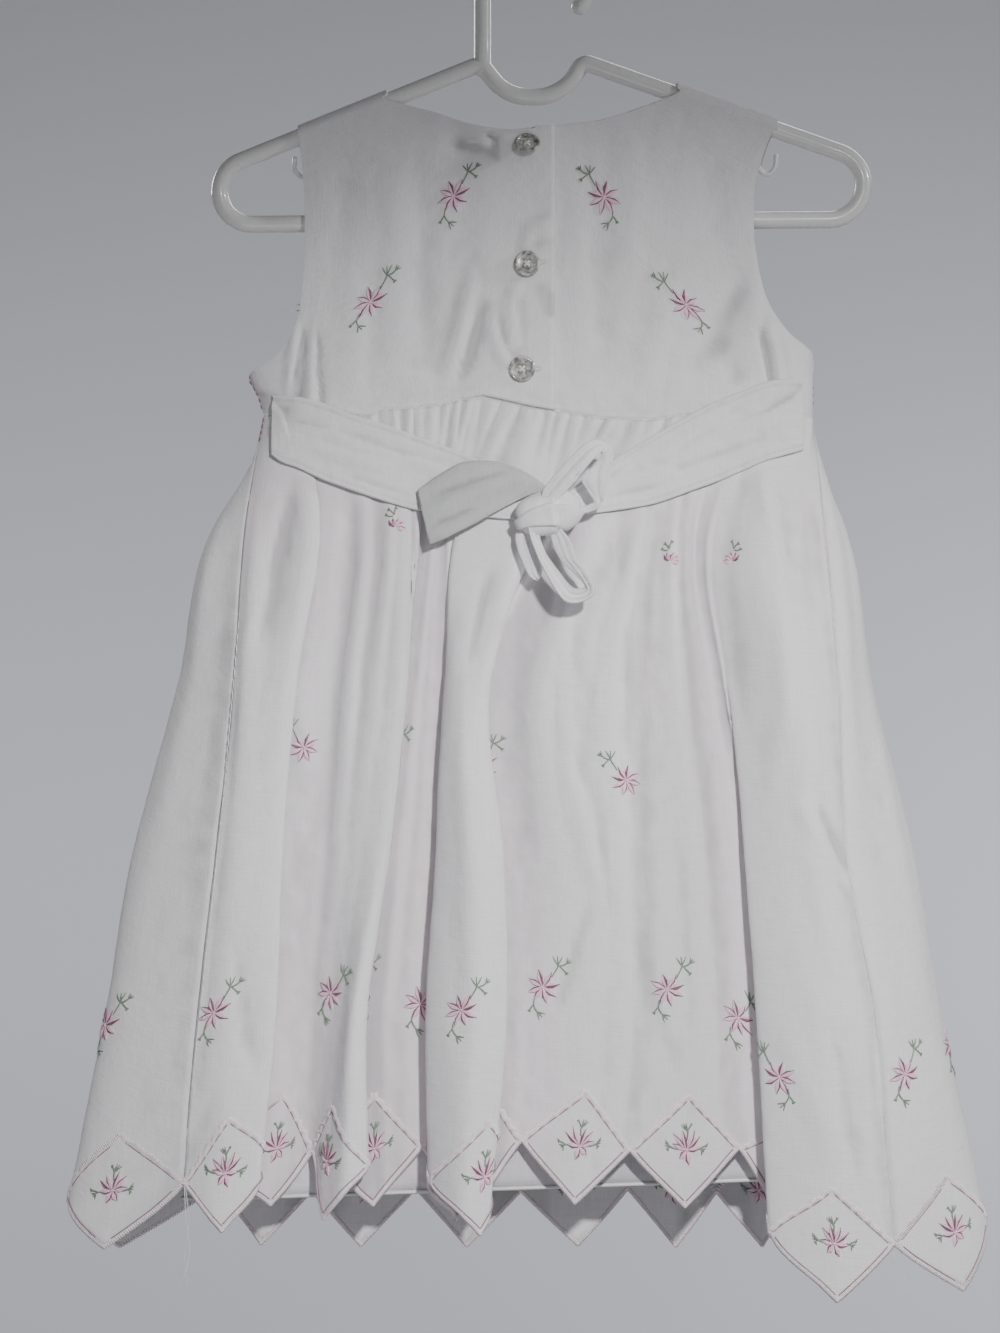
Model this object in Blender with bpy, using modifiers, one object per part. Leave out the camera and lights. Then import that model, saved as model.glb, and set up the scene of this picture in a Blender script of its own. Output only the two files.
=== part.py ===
"""Toddler dress on its plastic hanger, hung with its buttoned back to -Y.

Frame: metres, +X to the viewer's right, +Y towards the wall, +Z up. The origin is the inner top of
the hanger's hook. All tables and sizes below are in millimetres; MM turns them into metres.
The skirt is one ring of cloth: every horizontal section is a smooth closed curve through the rows of
the fold tables, and the folds' places and depths change with the drop below the waist seam.
"""

import math

import bmesh
import bpy
import numpy as np
from mathutils import Matrix, Vector

MM = 0.001

# Cloth and seams
CLOTH = 1.2
LINING_CLOTH = 1.0
SASH_CLOTH = 2.0
SEAM_GAP = 0.3
SEAM_END = 0.4  # half the gap at a side or shoulder seam, where the walls lean a little
WAIST_END = 0.35  # the same at the waist seam

# Hanger
TUBE_RADIUS = 4.0
HOOK_RADIUS = 24.8
STEM_X = -24.8
STRAP_HOOK_RADIUS = 1.1
# name, x, z, radius of the bend: corners of the hanger's closed loop before rounding
HANGER_CORNERS = (
    ("stem foot", -25.5, -61.5, 5.0),
    ("dip left", -13.8, -77.0, 22.0),
    ("dip right", 12.3, -77.0, 22.0),
    ("right peak", 21.9, -60.6, 4.5),
    ("right end", 228.4, -133.3, 16.1),
    ("left end", -211.4, -136.7, 15.2),
)

# Bodice
WAIST_Z = -225.0
CHEST_DEPTH = 13.0
SIDE_POWER = 6.0
WRAP_RADIUS = 5.0
WRAP_HEIGHT = 5.4
DRAPE_HEIGHT = 70.0
PLACKET_EDGE_X = 8.7
UNDERLAP_EDGE_X = -13.0
LAP_LIFT = 1.7
LAP_EASE = 26.0  # how far beyond the underlap the upper back starts to lift

# Skirt
PITCHES = 22
SIDE_LEFT_U = 1.0
SIDE_RIGHT_U = 12.0
DIAMOND_DROP = 26.5
WAIST_PITCH = 24.0
WAIST_REACH = 40.0  # drop over which the folds leave the waist's even ring
GATHER_DEPTH = 0.8
GATHER_LENGTH = 16.0
BACK_STEPS = 8
FRONT_STEPS = 4

COTTON = (0.86, 0.85, 0.87)
COTTON_SHADE = (0.74, 0.73, 0.76)
PLASTIC = (0.88, 0.88, 0.87)
PEARL = (0.72, 0.72, 0.73)


# ---------------------------------------------------------------- curves through named tables
def hermite(low, high, slope_low, slope_high, span, t):
    """Cubic between two values with the slopes at its two ends; t runs from 0 to 1."""
    t2 = t * t
    t3 = t2 * t
    return (
        (2 * t3 - 3 * t2 + 1) * low
        + (t3 - 2 * t2 + t) * span * slope_low
        + (3 * t2 - 2 * t3) * high
        + (t3 - t2) * span * slope_high
    )


def slopes(knots, values):
    """Slope at each knot: the two neighbouring chords, weighted by their lengths."""
    step = np.diff(knots)
    chord = np.diff(values, axis=-1) / step
    inner = (chord[..., :-1] * step[1:] + chord[..., 1:] * step[:-1]) / (step[1:] + step[:-1])
    return np.concatenate([chord[..., :1], inner, chord[..., -1:]], axis=-1)


def spline(knots, values, at):
    """Smooth curve through values at rising knots, straight past its ends."""
    knots = np.asarray(knots, float)
    values = np.asarray(values, float)
    at = np.atleast_1d(np.asarray(at, float))
    slope = slopes(knots, values)
    i = np.clip(np.searchsorted(knots, at, side="right") - 1, 0, len(knots) - 2)
    span = knots[i + 1] - knots[i]
    t = np.clip((at - knots[i]) / span, 0.0, 1.0)
    inside = hermite(values[..., i], values[..., i + 1], slope[..., i], slope[..., i + 1], span, t)
    below = slope[..., :1] * np.minimum(at - knots[0], 0.0)
    above = slope[..., -1:] * np.maximum(at - knots[-1], 0.0)
    return inside + below + above


def ease(t):
    """0 to 1 with level ends."""
    t = np.clip(t, 0.0, 1.0)
    return t * t * (3.0 - 2.0 * t)


# ---------------------------------------------------------------- the bodice's hanging form
def ridge_z(x):
    """Height of the shoulder line, just over the hanger's sloping arms."""
    corner = {name: (cx, cz) for name, cx, cz, radius in HANGER_CORNERS}
    heights = []
    for top, end in (("stem foot", "left end"), ("right peak", "right end")):
        (x0, z0), (x1, z1) = corner[top], corner[end]
        heights.append(z0 + (x - x0) * (z1 - z0) / (x1 - x0))
    return np.where(x < 0, heights[0], heights[1]) + WRAP_HEIGHT


SIDE_DROPS = (0.0, 19.0, 200.0)
SIDE_LEFT_X = (-126.0, -133.0, -133.0)
SIDE_RIGHT_X = (128.4, 128.4, 128.4)


def chest_depth(x, z):
    """Half the depth of the hanging bodice at a place on it."""
    x = np.asarray(x, float)
    z = np.asarray(z, float)
    rise = z - WAIST_Z
    left = spline(SIDE_DROPS, SIDE_LEFT_X, rise)
    right = spline(SIDE_DROPS, SIDE_RIGHT_X, rise)
    across = np.where(x < 0, x / left, x / right)
    full = CHEST_DEPTH * np.sqrt(np.clip(1.0 - np.clip(across, 0.0, 1.0) ** SIDE_POWER, 0.0, 1.0))
    below = np.clip(ridge_z(x) - z, 0.0, None)
    lean = np.clip((WRAP_HEIGHT - below) / WRAP_HEIGHT, 0.0, 1.0)
    wrap = WRAP_RADIUS * np.sqrt(1.0 - lean**2)
    hang = WRAP_RADIUS + (full - WRAP_RADIUS) * ease((below - WRAP_HEIGHT) / DRAPE_HEIGHT)
    hang = np.minimum(hang, np.maximum(full, 0.0) + WRAP_RADIUS * (below < DRAPE_HEIGHT))
    return np.where(below < WRAP_HEIGHT, wrap, hang)


def ring_at_waist(u):
    """Waist section: pitches 1 to 12 run along the back from left to right, 12 to 23 along the front."""
    theta = np.linspace(0.0, 2.0 * math.pi, 721)
    side = np.where(np.cos(theta) > 0, SIDE_LEFT_X[0], SIDE_RIGHT_X[0])
    xs = side * np.abs(np.cos(theta)) ** (2.0 / SIDE_POWER)
    ys = -CHEST_DEPTH * np.sin(theta)
    run = np.concatenate([[0.0], np.cumsum(np.hypot(np.diff(xs), np.diff(ys)))])
    half = run[360]
    turn = np.mod(np.asarray(u, float) - SIDE_LEFT_U, PITCHES)
    at = np.where(turn <= 11.0, turn / 11.0 * half, half + (turn - 11.0) / 11.0 * (run[-1] - half))
    return np.interp(at, run, xs), np.interp(at, run, ys)


# ---------------------------------------------------------------- the skirt's folds
LEVELS = (0.0, 50.0, 125.0, 205.0, 280.0, 350.0)  # drop below the waist seam

# name, u: place along the cut hem in diamonds, hem: drop of the hem's notches there,
# x: across at the five levels below the waist, y: in depth at the same levels (-Y is the back)
BACK_FOLDS = (
    ("left turn", 0.0, 360.7, (-146.7, -165.6, -187, -199.4, -213.7), (3, 1, -2, -5, -8)),
    ("left seam", 1.0, 353.4, (-133.9, -138.9, -146.7, -155.5, -161), (-12, -22, -27, -29, -30)),
    ("left crest", 1.5, 348.0, (-118, -125, -132, -138, -142), (-17, -28, -33, -35, -36)),
    ("left edge", 1.85, 343.7, (-100.3, -110, -116.4, -119.1, -126), (-17.5, -26, -30, -32, -33)),
    ("left under", 2.15, 341.0, (-101, -119, -129, -133, -140), (-15.5, -20, -22, -23, -24)),
    ("left recess", 2.5, 339.0, (-91, -101, -109, -114, -121), (-15, -15.5, -15.5, -15, -15)),
    ("cone foot", 3.0, 340.5, (-79, -86, -93, -100, -104), (-15.5, -17.5, -18, -14.5, -14)),
    ("cone left", 3.5, 344.0, (-67, -72, -80, -89.5, -96), (-16.5, -20, -23, -24, -25)),
    ("cone crest", 3.8, 345.0, (-60, -63, -71.5, -83.5, -86), (-17, -22, -27, -33, -34)),
    ("cone right", 4.0, 345.0, (-57, -59.3, -67.6, -78, -76.8), (-16.5, -20.5, -25, -29, -29)),
    ("cone under", 4.25, 342.0, (-54, -63, -74, -82, -84), (-15.5, -17.5, -19, -21, -20)),
    ("strip left", 4.5, 339.5, (-49, -57, -66, -74, -75), (-15, -14.5, -14, -13, -12.5)),
    ("strip", 5.0, 338.6, (-43, -47, -51, -55, -52), (-15.5, -14.5, -13.5, -12.5, -12.5)),
    ("centre behind", 5.5, 346.0, (-37.5, -35, -35, -37, -37), (-16, -15, -14.5, -14, -14)),
    ("centre left", 6.0, 352.9, (-32, -41.5, -45.5, -49.7, -48.8), (-18.5, -22.5, -25, -26, -26)),
    ("centre crest", 6.3, 350.5, (-20, -34, -31, -32, -34), (-20.5, -32, -37, -39, -38)),
    ("centre right", 6.6, 349.0, (-4, -22.5, -16.1, -15.2, -20.7), (-20, -28, -31, -32, -33)),
    ("centre under", 7.2, 341.4, (3, -30, -29, -28, -33), (-17, -20.5, -21.5, -22, -23)),
    ("panel left", 7.75, 336.8, (11, -20.5, -13, -11, -17), (-16, -15.5, -15, -14.5, -14)),
    ("panel start", 8.0, 335.4, (20, -6, -1, -2, -8), (-16.5, -17, -17, -16.5, -15.5)),
    ("panel ridge", 8.5, 337.5, (38, 14.3, 21.2, 24.8, 18.9), (-17.5, -21.5, -21.5, -20, -19.5)),
    ("panel middle", 9.0, 339.6, (51, 42, 46, 48, 42.3), (-17, -19, -19, -19, -18.5)),
    ("panel flat", 9.5, 339.4, (63, 63, 68.5, 71, 69), (-16.5, -17, -17, -18, -18.5)),
    ("panel end", 10.1, 340.5, (73, 79, 90, 95, 98.5), (-16, -15, -15, -15.5, -16)),
    ("right behind", 10.55, 357.5, (79, 87, 104, 110, 114.5), (-16, -15, -15.5, -16.5, -18)),
    ("right edge", 11.0, 375.0, (88, 92.5, 96.6, 101.7, 105.3), (-18, -19.5, -27, -31, -33)),
    ("right ridge", 11.4, 378.5, (106, 115.5, 121.4, 125, 128.3), (-21, -33, -39, -41, -41)),
    ("right seam", 12.0, 380.0, (133, 138.5, 141.7, 155, 160.5), (-11, -25, -33, -36, -37)),
    ("right turn", 13.0, 370.4, (140.3, 156, 175.3, 188, 203), (4, 0, -4, -8, -12)),
)

# name, u, hem, x and y at the lowest level: soft uneven waves of the front, which lies to the wall
FRONT_FOLDS = (
    ("front right hollow", 14.0, 364.0, 168.0, 15.0),
    ("front right wave", 15.0, 363.5, 124.0, 28.0),
    ("front inner hollow", 16.0, 363.5, 84.0, 18.0),
    ("front middle wave", 17.2, 363.5, 34.0, 29.0),
    ("front middle hollow", 18.1, 363.5, -12.0, 20.0),
    ("front left wave", 19.0, 363.5, -56.0, 30.0),
    ("front left hollow", 20.0, 363.0, -104.0, 18.0),
    ("front last wave", 21.0, 362.0, -150.0, 25.0),
)
FRONT_GROWTH = (0.28, 0.55, 0.76, 0.9, 1.0)


def fold_rows():
    """Rows of both tables as arrays: u, hem drop, and x and y at every level, the waist's first."""
    rows = []
    for name, u, hem, xs, ys in BACK_FOLDS:
        x0, y0 = ring_at_waist(u)
        rows.append((u, hem, (float(x0), *xs), (float(y0), *ys)))
    for name, u, hem, x, y in FRONT_FOLDS:
        x0, y0 = ring_at_waist(u)
        xs = [float(x0) + (x - float(x0)) * g for g in FRONT_GROWTH]
        ys = [float(y0) + (y - float(y0)) * g for g in FRONT_GROWTH]
        rows.append((u, hem, (float(x0), *xs), (float(y0), *ys)))
    us = np.array([r[0] for r in rows])
    hems = np.array([r[1] for r in rows])
    return us, hems, np.array([r[2] for r in rows]), np.array([r[3] for r in rows])


FOLD_U, FOLD_HEM, FOLD_X, FOLD_Y = fold_rows()
WRAP = 3


def around(table):
    """The table with three rows of its other end added at each end, so that the ring closes."""
    return np.concatenate([table[-WRAP:], table, table[:WRAP]])


RING_U = np.concatenate([FOLD_U[-WRAP:] - PITCHES, FOLD_U, FOLD_U[:WRAP] + PITCHES])
RING_HEM = around(FOLD_HEM)
RING_X = around(FOLD_X)
RING_Y = around(FOLD_Y)


def between_rows(rows, u):
    """One smooth curve in u through the rows, each column of them at its own u."""
    i = np.clip(np.searchsorted(RING_U, u, side="right") - 1, 1, len(RING_U) - 3)
    col = np.arange(len(u))
    k0, k1, k2, k3 = RING_U[i - 1], RING_U[i], RING_U[i + 1], RING_U[i + 2]
    v0, v1, v2, v3 = rows[i - 1, col], rows[i, col], rows[i + 1, col], rows[i + 2, col]
    before, here, after = (v1 - v0) / (k1 - k0), (v2 - v1) / (k2 - k1), (v3 - v2) / (k3 - k2)
    low = (before * (k2 - k1) + here * (k1 - k0)) / (k2 - k0)
    high = (here * (k3 - k2) + after * (k2 - k1)) / (k3 - k1)
    return hermite(v1, v2, low, high, k2 - k1, (u - k1) / (k2 - k1))


def skirt_section(u, drop):
    """Across and depth of the skirt's cloth at a place u along it and a drop below the waist."""
    turn = np.mod(u, PITCHES)
    xs = between_rows(spline(LEVELS, RING_X, drop), turn)
    ys = between_rows(spline(LEVELS, RING_Y, drop), turn)
    top_x, top_y = ring_at_waist(turn)
    flat = np.zeros_like(drop)
    rest = 1.0 - ease(drop / WAIST_REACH)
    xs = xs + rest * (top_x - between_rows(spline(LEVELS, RING_X, flat), turn))
    ys = ys + rest * (top_y - between_rows(spline(LEVELS, RING_Y, flat), turn))
    return xs, ys


def hem_drop(u):
    """Drop of the hem's notches, without the points."""
    turn = np.mod(u, PITCHES)
    return between_rows(np.repeat(RING_HEM[:, None], len(u), axis=1), turn)


def zigzag(u):
    """0 at a notch between two diamonds, 1 at a diamond's point."""
    return 1.0 - np.abs(2.0 * np.mod(u, 1.0) - 1.0)


# ---------------------------------------------------------------- building helpers
def material(name, color, roughness, metallic=0.0):
    made = bpy.data.materials.new(name)
    made.use_nodes = True
    shader = made.node_tree.nodes["Principled BSDF"]
    shader.inputs["Base Color"].default_value = (*color, 1.0)
    shader.inputs["Roughness"].default_value = roughness
    shader.inputs["Metallic"].default_value = metallic
    made.diffuse_color = (*color, 1.0)
    return made


def add_object(name, mesh, collection, finish=None):
    obj = bpy.data.objects.new(name, mesh)
    collection.objects.link(obj)
    if finish:
        mesh.materials.append(finish)
    return obj


def surface_mesh(name, grid):
    """Open surface through a grid of points in millimetres, rows by columns."""
    rows, cols = grid.shape[:2]
    mesh = bpy.data.meshes.new(name)
    verts = [tuple(p * MM) for p in grid.reshape(-1, 3)]
    faces = []
    for r in range(rows - 1):
        for c in range(cols - 1):
            at = r * cols + c
            faces.append((at, at + 1, at + cols + 1, at + cols))
    mesh.from_pydata(verts, [], faces)
    mesh.update()
    mesh.shade_smooth()
    return mesh


def cloth_wall(name, grid, thickness, finish, collection):
    """A wall of cloth: the surface with half its thickness on each side."""
    obj = add_object(name, surface_mesh(name, grid), collection, finish)
    wall = obj.modifiers.new("Wall", "SOLIDIFY")
    wall.thickness = thickness * MM
    wall.offset = 0.0
    return obj


def tube_mesh(name, points, radius, cyclic=False, sides=2):
    """Mesh of a round rod along points in millimetres, with its ends capped and welded."""
    curve = bpy.data.curves.new(name, "CURVE")
    curve.dimensions = "3D"
    curve.bevel_depth = radius * MM
    curve.bevel_resolution = sides
    curve.use_fill_caps = not cyclic
    line = curve.splines.new("POLY")
    line.points.add(len(points) - 1)
    for slot, p in zip(line.points, points):
        slot.co = (p[0] * MM, p[1] * MM, p[2] * MM, 1.0)
    line.use_cyclic_u = cyclic
    rod = bpy.data.objects.new(name, curve)
    bpy.context.scene.collection.objects.link(rod)
    bpy.context.view_layer.update()
    mesh = bpy.data.meshes.new_from_object(rod.evaluated_get(bpy.context.evaluated_depsgraph_get()))
    bpy.data.objects.remove(rod)
    work = bmesh.new()
    work.from_mesh(mesh)
    bmesh.ops.remove_doubles(work, verts=work.verts, dist=WELD_DISTANCE * MM)
    work.to_mesh(mesh)
    work.free()
    mesh.name = name
    mesh.materials.clear()
    return mesh


def hide_tool(obj):
    obj.hide_render = True
    obj.display_type = "WIRE"


def add_boolean(obj, tool, operation):
    step = obj.modifiers.new(f"{operation.title()} {tool.name}", "BOOLEAN")
    step.operation = operation
    step.solver = "EXACT"
    step.object = tool


# ---------------------------------------------------------------- hanger
BEND_STEP = math.radians(17.0)
STRAIGHT_STEP = 60.0

# x, z along each strap hook, from the arm it grows out of to its tip
STRAP_HOOK_LEFT = (
    (-97.0, -92.5),
    (-100.5, -104.0),
    (-104.0, -112.0),
    (-108.6, -114.2),
    (-112.0, -110.5),
    (-112.0, -105.5),
)
STRAP_HOOK_RIGHT = (
    (100.5, -90.5),
    (101.7, -104.0),
    (104.4, -111.0),
    (108.1, -112.8),
    (111.3, -109.6),
    (111.8, -104.5),
)
HOOK_FIT = 0.985  # the hook's tube is this much slimmer, so that its skin never lies in the loop's
HOOK_END_ANGLE = -35.0
HOOK_STEPS = 15
STEM_FOOT_Z = -64.0
STEM_TOP_Z = -50.0
WELD_DISTANCE = 0.02


def rounded_loop(corners):
    """Points of a closed outline in X and Z whose corners are arcs."""
    points = []
    count = len(corners)
    for k, (name, x, z, radius) in enumerate(corners):
        here = Vector((x, z))
        back = (Vector(corners[k - 1][1:3]) - here).normalized()
        ahead = (Vector(corners[(k + 1) % count][1:3]) - here).normalized()
        half = back.angle(ahead) / 2.0
        centre = here + (back + ahead).normalized() * (radius / math.sin(half))
        start = here + back * (radius / math.tan(half)) - centre
        end = here + ahead * (radius / math.tan(half)) - centre
        sweep = start.angle_signed(end)
        steps = max(3, math.ceil(abs(sweep) / BEND_STEP))
        for s in range(steps + 1):
            turned = Matrix.Rotation(-sweep * s / steps, 2) @ start
            points.append(centre + turned)
    return points


def with_straights(points):
    """Adds points along a closed outline's stretches that are longer than STRAIGHT_STEP."""
    out = []
    for a, b in zip(points, points[1:] + points[:1]):
        parts = max(1, math.ceil((b - a).length / STRAIGHT_STEP))
        out += [a.lerp(b, s / parts) for s in range(parts)]
    return out


def smooth_path(points, steps):
    """More points along the smooth curve through a few."""
    knots = np.arange(len(points))
    at = np.linspace(0, len(points) - 1, steps * (len(points) - 1) + 1)
    return spline(knots, np.array(points, float).T, at).T


def build_hanger(parts, tools, finish):
    outline = [(p.x, 0.0, p.y) for p in with_straights(rounded_loop(HANGER_CORNERS))]
    hanger = add_object("hanger", tube_mesh("hanger", outline, TUBE_RADIUS, True), parts, finish)
    top = TUBE_RADIUS - HOOK_RADIUS
    arc = [
        (HOOK_RADIUS * math.cos(a), 0.0, top + HOOK_RADIUS * math.sin(a))
        for a in np.radians(np.linspace(180.0, HOOK_END_ANGLE, HOOK_STEPS + 1))
    ]
    stem = [(STEM_X, 0.0, STEM_FOOT_Z), (STEM_X, 0.0, STEM_TOP_Z), *arc]
    pieces = [("hook", tube_mesh("hook", stem, TUBE_RADIUS * HOOK_FIT))]
    for name, line in (("strap_hook_left", STRAP_HOOK_LEFT), ("strap_hook_right", STRAP_HOOK_RIGHT)):
        path = [(x, 0.0, z) for x, z in smooth_path(line, 2)]
        pieces.append((name, tube_mesh(name, path, STRAP_HOOK_RADIUS, sides=1)))
    for name, mesh in pieces:
        tool = add_object(name, mesh, tools)
        hide_tool(tool)
        add_boolean(hanger, tool, "UNION")


# ---------------------------------------------------------------- bodice
# inner x, inner z, outer x, outer z: ends of each row of the back bodice's cloth, waist to shoulder
LEFT_BACK_ROWS = (
    (8.7, -225.0, -126.0, -225.0),
    (8.7, -212.0, -128.5, -216.0),
    (8.7, -197.0, -133.0, -206.5),
    (8.7, -176.0, -119.0, -197.0),
    (8.7, -154.0, -110.0, -181.0),
    (8.7, -130.0, -107.2, -156.0),
    (8.7, -107.0, -107.0, -129.5),
    (8.7, -91.0, -107.6, -118.0),
    (-11.0, -93.5, -108.4, -108.9),
    (-30.0, -90.5, -109.2, -102.0),
    (-48.0, -84.5, -109.9, -96.4),
)
LEFT_SHOULDER = (-69.0, -110.4)
RIGHT_BACK_ROWS = (
    (-13.0, -225.0, 128.4, -225.0),
    (-13.0, -212.0, 128.4, -211.0),
    (-13.0, -197.0, 128.4, -197.0),
    (-13.0, -178.0, 116.0, -186.0),
    (-13.0, -156.0, 106.0, -170.0),
    (-13.0, -134.0, 101.2, -148.0),
    (-13.0, -113.0, 101.0, -124.0),
    (-13.0, -95.5, 103.2, -113.5),
    (8.7, -91.5, 105.0, -105.5),
    (30.0, -88.5, 107.6, -98.5),
    (48.5, -82.5, 110.2, -93.0),
)
RIGHT_SHOULDER = (65.3, 112.2)
FRONT_LEFT_ROWS = (
    (0.0, -225.0, -126.0, -225.0),
    (0.0, -215.0, -128.5, -216.0),
    (0.0, -203.0, -133.0, -206.5),
    (0.0, -186.0, -119.0, -197.0),
    (0.0, -168.0, -110.0, -181.0),
    (0.0, -150.0, -107.2, -162.0),
    (0.0, -134.0, -107.0, -147.0),
    (-22.0, -130.0, -107.0, -136.0),
    (-41.0, -119.0, -107.2, -123.0),
    (-54.0, -104.0, -108.4, -110.5),
    (-62.0, -89.5, -109.9, -99.5),
)
FRONT_RIGHT_ROWS = (
    (0.0, -225.0, 128.4, -225.0),
    (0.0, -215.0, 128.4, -211.0),
    (0.0, -203.0, 128.4, -197.0),
    (0.0, -186.0, 116.0, -186.0),
    (0.0, -168.0, 106.0, -172.0),
    (0.0, -150.0, 101.4, -156.0),
    (0.0, -134.0, 101.0, -143.0),
    (20.0, -130.0, 101.2, -133.0),
    (38.0, -118.0, 102.6, -119.0),
    (50.5, -102.0, 105.6, -107.0),
    (58.5, -87.0, 109.2, -96.5),
)
SHOULDER_DROPS = (5.2, 2.6, 0.8, 0.0)
BACK_COLUMNS = 14
FRONT_COLUMNS = 12
FRONT_SEAM_ROWS = 7  # rows of the front that cross its middle, below the neck
OUTER_CROWDING = 1.7  # above 1, columns crowd towards the side seam, where the panel bends
LAP_RUN = 22.0
LAP_FROM_DEPTH = 4.0


def bodice_grid(rows, shoulder, columns, toward, lap=0.0):
    """Grid of a bodice panel. Its rows end on the opening or neck edge, and on the side or armhole edge."""
    inner = [(r[0], r[1]) for r in rows]
    outer = [(r[2], r[3]) for r in rows]
    for drop in SHOULDER_DROPS:
        inner.append((shoulder[0], float(ridge_z(shoulder[0])) - drop))
        outer.append((shoulder[1], float(ridge_z(shoulder[1])) - drop))
    share = 1.0 - (1.0 - np.linspace(0.0, 1.0, columns)) ** OUTER_CROWDING
    grid = np.zeros((len(inner), columns, 3))
    for k, (a, b) in enumerate(zip(inner, outer)):
        grid[k, :, 0] = a[0] + (b[0] - a[0]) * share
        grid[k, :, 2] = a[1] + (b[1] - a[1]) * share
    grid[0, :, 2] = WAIST_Z + WAIST_END
    depth = chest_depth(grid[:, :, 0], grid[:, :, 2])
    if lap:
        reach = (grid[:, :, 0] - (UNDERLAP_EDGE_X - LAP_EASE)) / LAP_RUN
        depth = depth + lap * ease(reach) * (depth > LAP_FROM_DEPTH)
    grid[:, :, 1] = toward * np.maximum(depth, SEAM_END)
    return grid


def build_bodice(parts, finish):
    left = bodice_grid(LEFT_BACK_ROWS, LEFT_SHOULDER, BACK_COLUMNS, -1.0, LAP_LIFT)
    cloth_wall("bodice_back_left", left, CLOTH, finish, parts)
    right = bodice_grid(RIGHT_BACK_ROWS, RIGHT_SHOULDER, BACK_COLUMNS, -1.0)
    cloth_wall("bodice_back_right", right, CLOTH, finish, parts)
    half_left = bodice_grid(FRONT_LEFT_ROWS, LEFT_SHOULDER, FRONT_COLUMNS, 1.0)
    half_right = bodice_grid(FRONT_RIGHT_ROWS, RIGHT_SHOULDER, FRONT_COLUMNS, 1.0)
    front = cloth_wall("bodice_front", half_left, CLOTH, finish, parts)
    other = surface_mesh("bodice_front_half", half_right[:, ::-1])
    work = bmesh.new()
    work.from_mesh(front.data)
    work.from_mesh(other)
    middle = [v for v in work.verts if abs(v.co.x) < WELD_DISTANCE * MM]
    assert len(middle) == 2 * FRONT_SEAM_ROWS
    bmesh.ops.remove_doubles(work, verts=middle, dist=WELD_DISTANCE * MM)
    work.to_mesh(front.data)
    work.free()
    bpy.data.meshes.remove(other)
    front.data.shade_smooth()


# ---------------------------------------------------------------- skirt and lining
SKIRT_ROWS = (0.0, 0.035, 0.08, 0.135, 0.2, 0.27, 0.345, 0.42, 0.5, 0.58, 0.66, 0.74, 0.82, 0.9)


def skirt_grid(u_from, u_to, steps, rows):
    """Grid of a skirt panel: its columns run from the waist down to the zigzag hem."""
    shift = SEAM_GAP / WAIST_PITCH
    u = np.linspace(u_from, u_to, int(round((u_to - u_from) * steps)) + 1)
    near_seam = np.array([0.5, 1.0]) / BACK_STEPS
    u = np.unique(np.concatenate([u, u_from + near_seam, u_to - near_seam]))
    place = u.copy()
    place[0] += shift
    place[-1] -= shift
    notch = hem_drop(u)
    point = notch + DIAMOND_DROP * zigzag(u)
    drops = [WAIST_END + (notch - WAIST_END) * share for share in rows] + [point]
    gather = GATHER_DEPTH * np.cos(math.pi * u * steps)
    grid = np.zeros((len(drops), len(u), 3))
    for k, drop in enumerate(drops):
        x, y = skirt_section(place, drop)
        edge = np.minimum(np.arange(len(u)), np.arange(len(u))[::-1]) > 1
        y = y + np.sign(y) * gather * np.exp(-drop / GATHER_LENGTH) * edge
        grid[k] = np.stack([x, y, WAIST_Z - drop], axis=1)
    return grid


# drop, half width, depth to the back, depth to the front: sections of the lining
LINING_SECTIONS = (
    (0.6, 122.5, 9.8, 9.8),
    (40.0, 125.0, 10.0, 10.5),
    (125.0, 138.0, 9.0, 9.0),
    (230.0, 152.0, 8.0, 9.5),
    (358.0, 164.0, 7.5, 10.0),
)
LINING_HEM_SLOPE = -0.035
LINING_COLUMNS = 21
LINING_ROWS = 7


def lining_grid(toward):
    """Grid of half of the lining's tube, the back one with toward -1 and the front one with 1."""
    table = np.array(LINING_SECTIONS).T
    drops = np.linspace(LINING_SECTIONS[0][0], LINING_SECTIONS[-1][0], LINING_ROWS)
    wide, back, front = (spline(table[0], table[k], drops) for k in (1, 2, 3))
    theta = np.linspace(0.0, math.pi, LINING_COLUMNS)
    grid = np.zeros((LINING_ROWS, LINING_COLUMNS, 3))
    for k, drop in enumerate(drops):
        x = -wide[k] * np.sign(np.cos(theta)) * np.abs(np.cos(theta)) ** (2.0 / SIDE_POWER)
        y = (back[k] if toward < 0 else front[k]) * np.sin(theta)
        lower = LINING_HEM_SLOPE * x * drop / drops[-1]
        grid[k] = np.stack([x, toward * np.maximum(y, SEAM_END), WAIST_Z - drop - lower], axis=1)
    return grid


def build_skirt(parts, finish, lining):
    back = skirt_grid(SIDE_LEFT_U, SIDE_RIGHT_U, BACK_STEPS, SKIRT_ROWS)
    cloth_wall("skirt_back", back, CLOTH, finish, parts)
    front = skirt_grid(SIDE_RIGHT_U, SIDE_LEFT_U + PITCHES, FRONT_STEPS, SKIRT_ROWS[::2])
    cloth_wall("skirt_front", front, CLOTH, finish, parts)
    cloth_wall("lining_back", lining_grid(-1.0), LINING_CLOTH, lining, parts)
    cloth_wall("lining_front", lining_grid(1.0), LINING_CLOTH, lining, parts)


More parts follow.
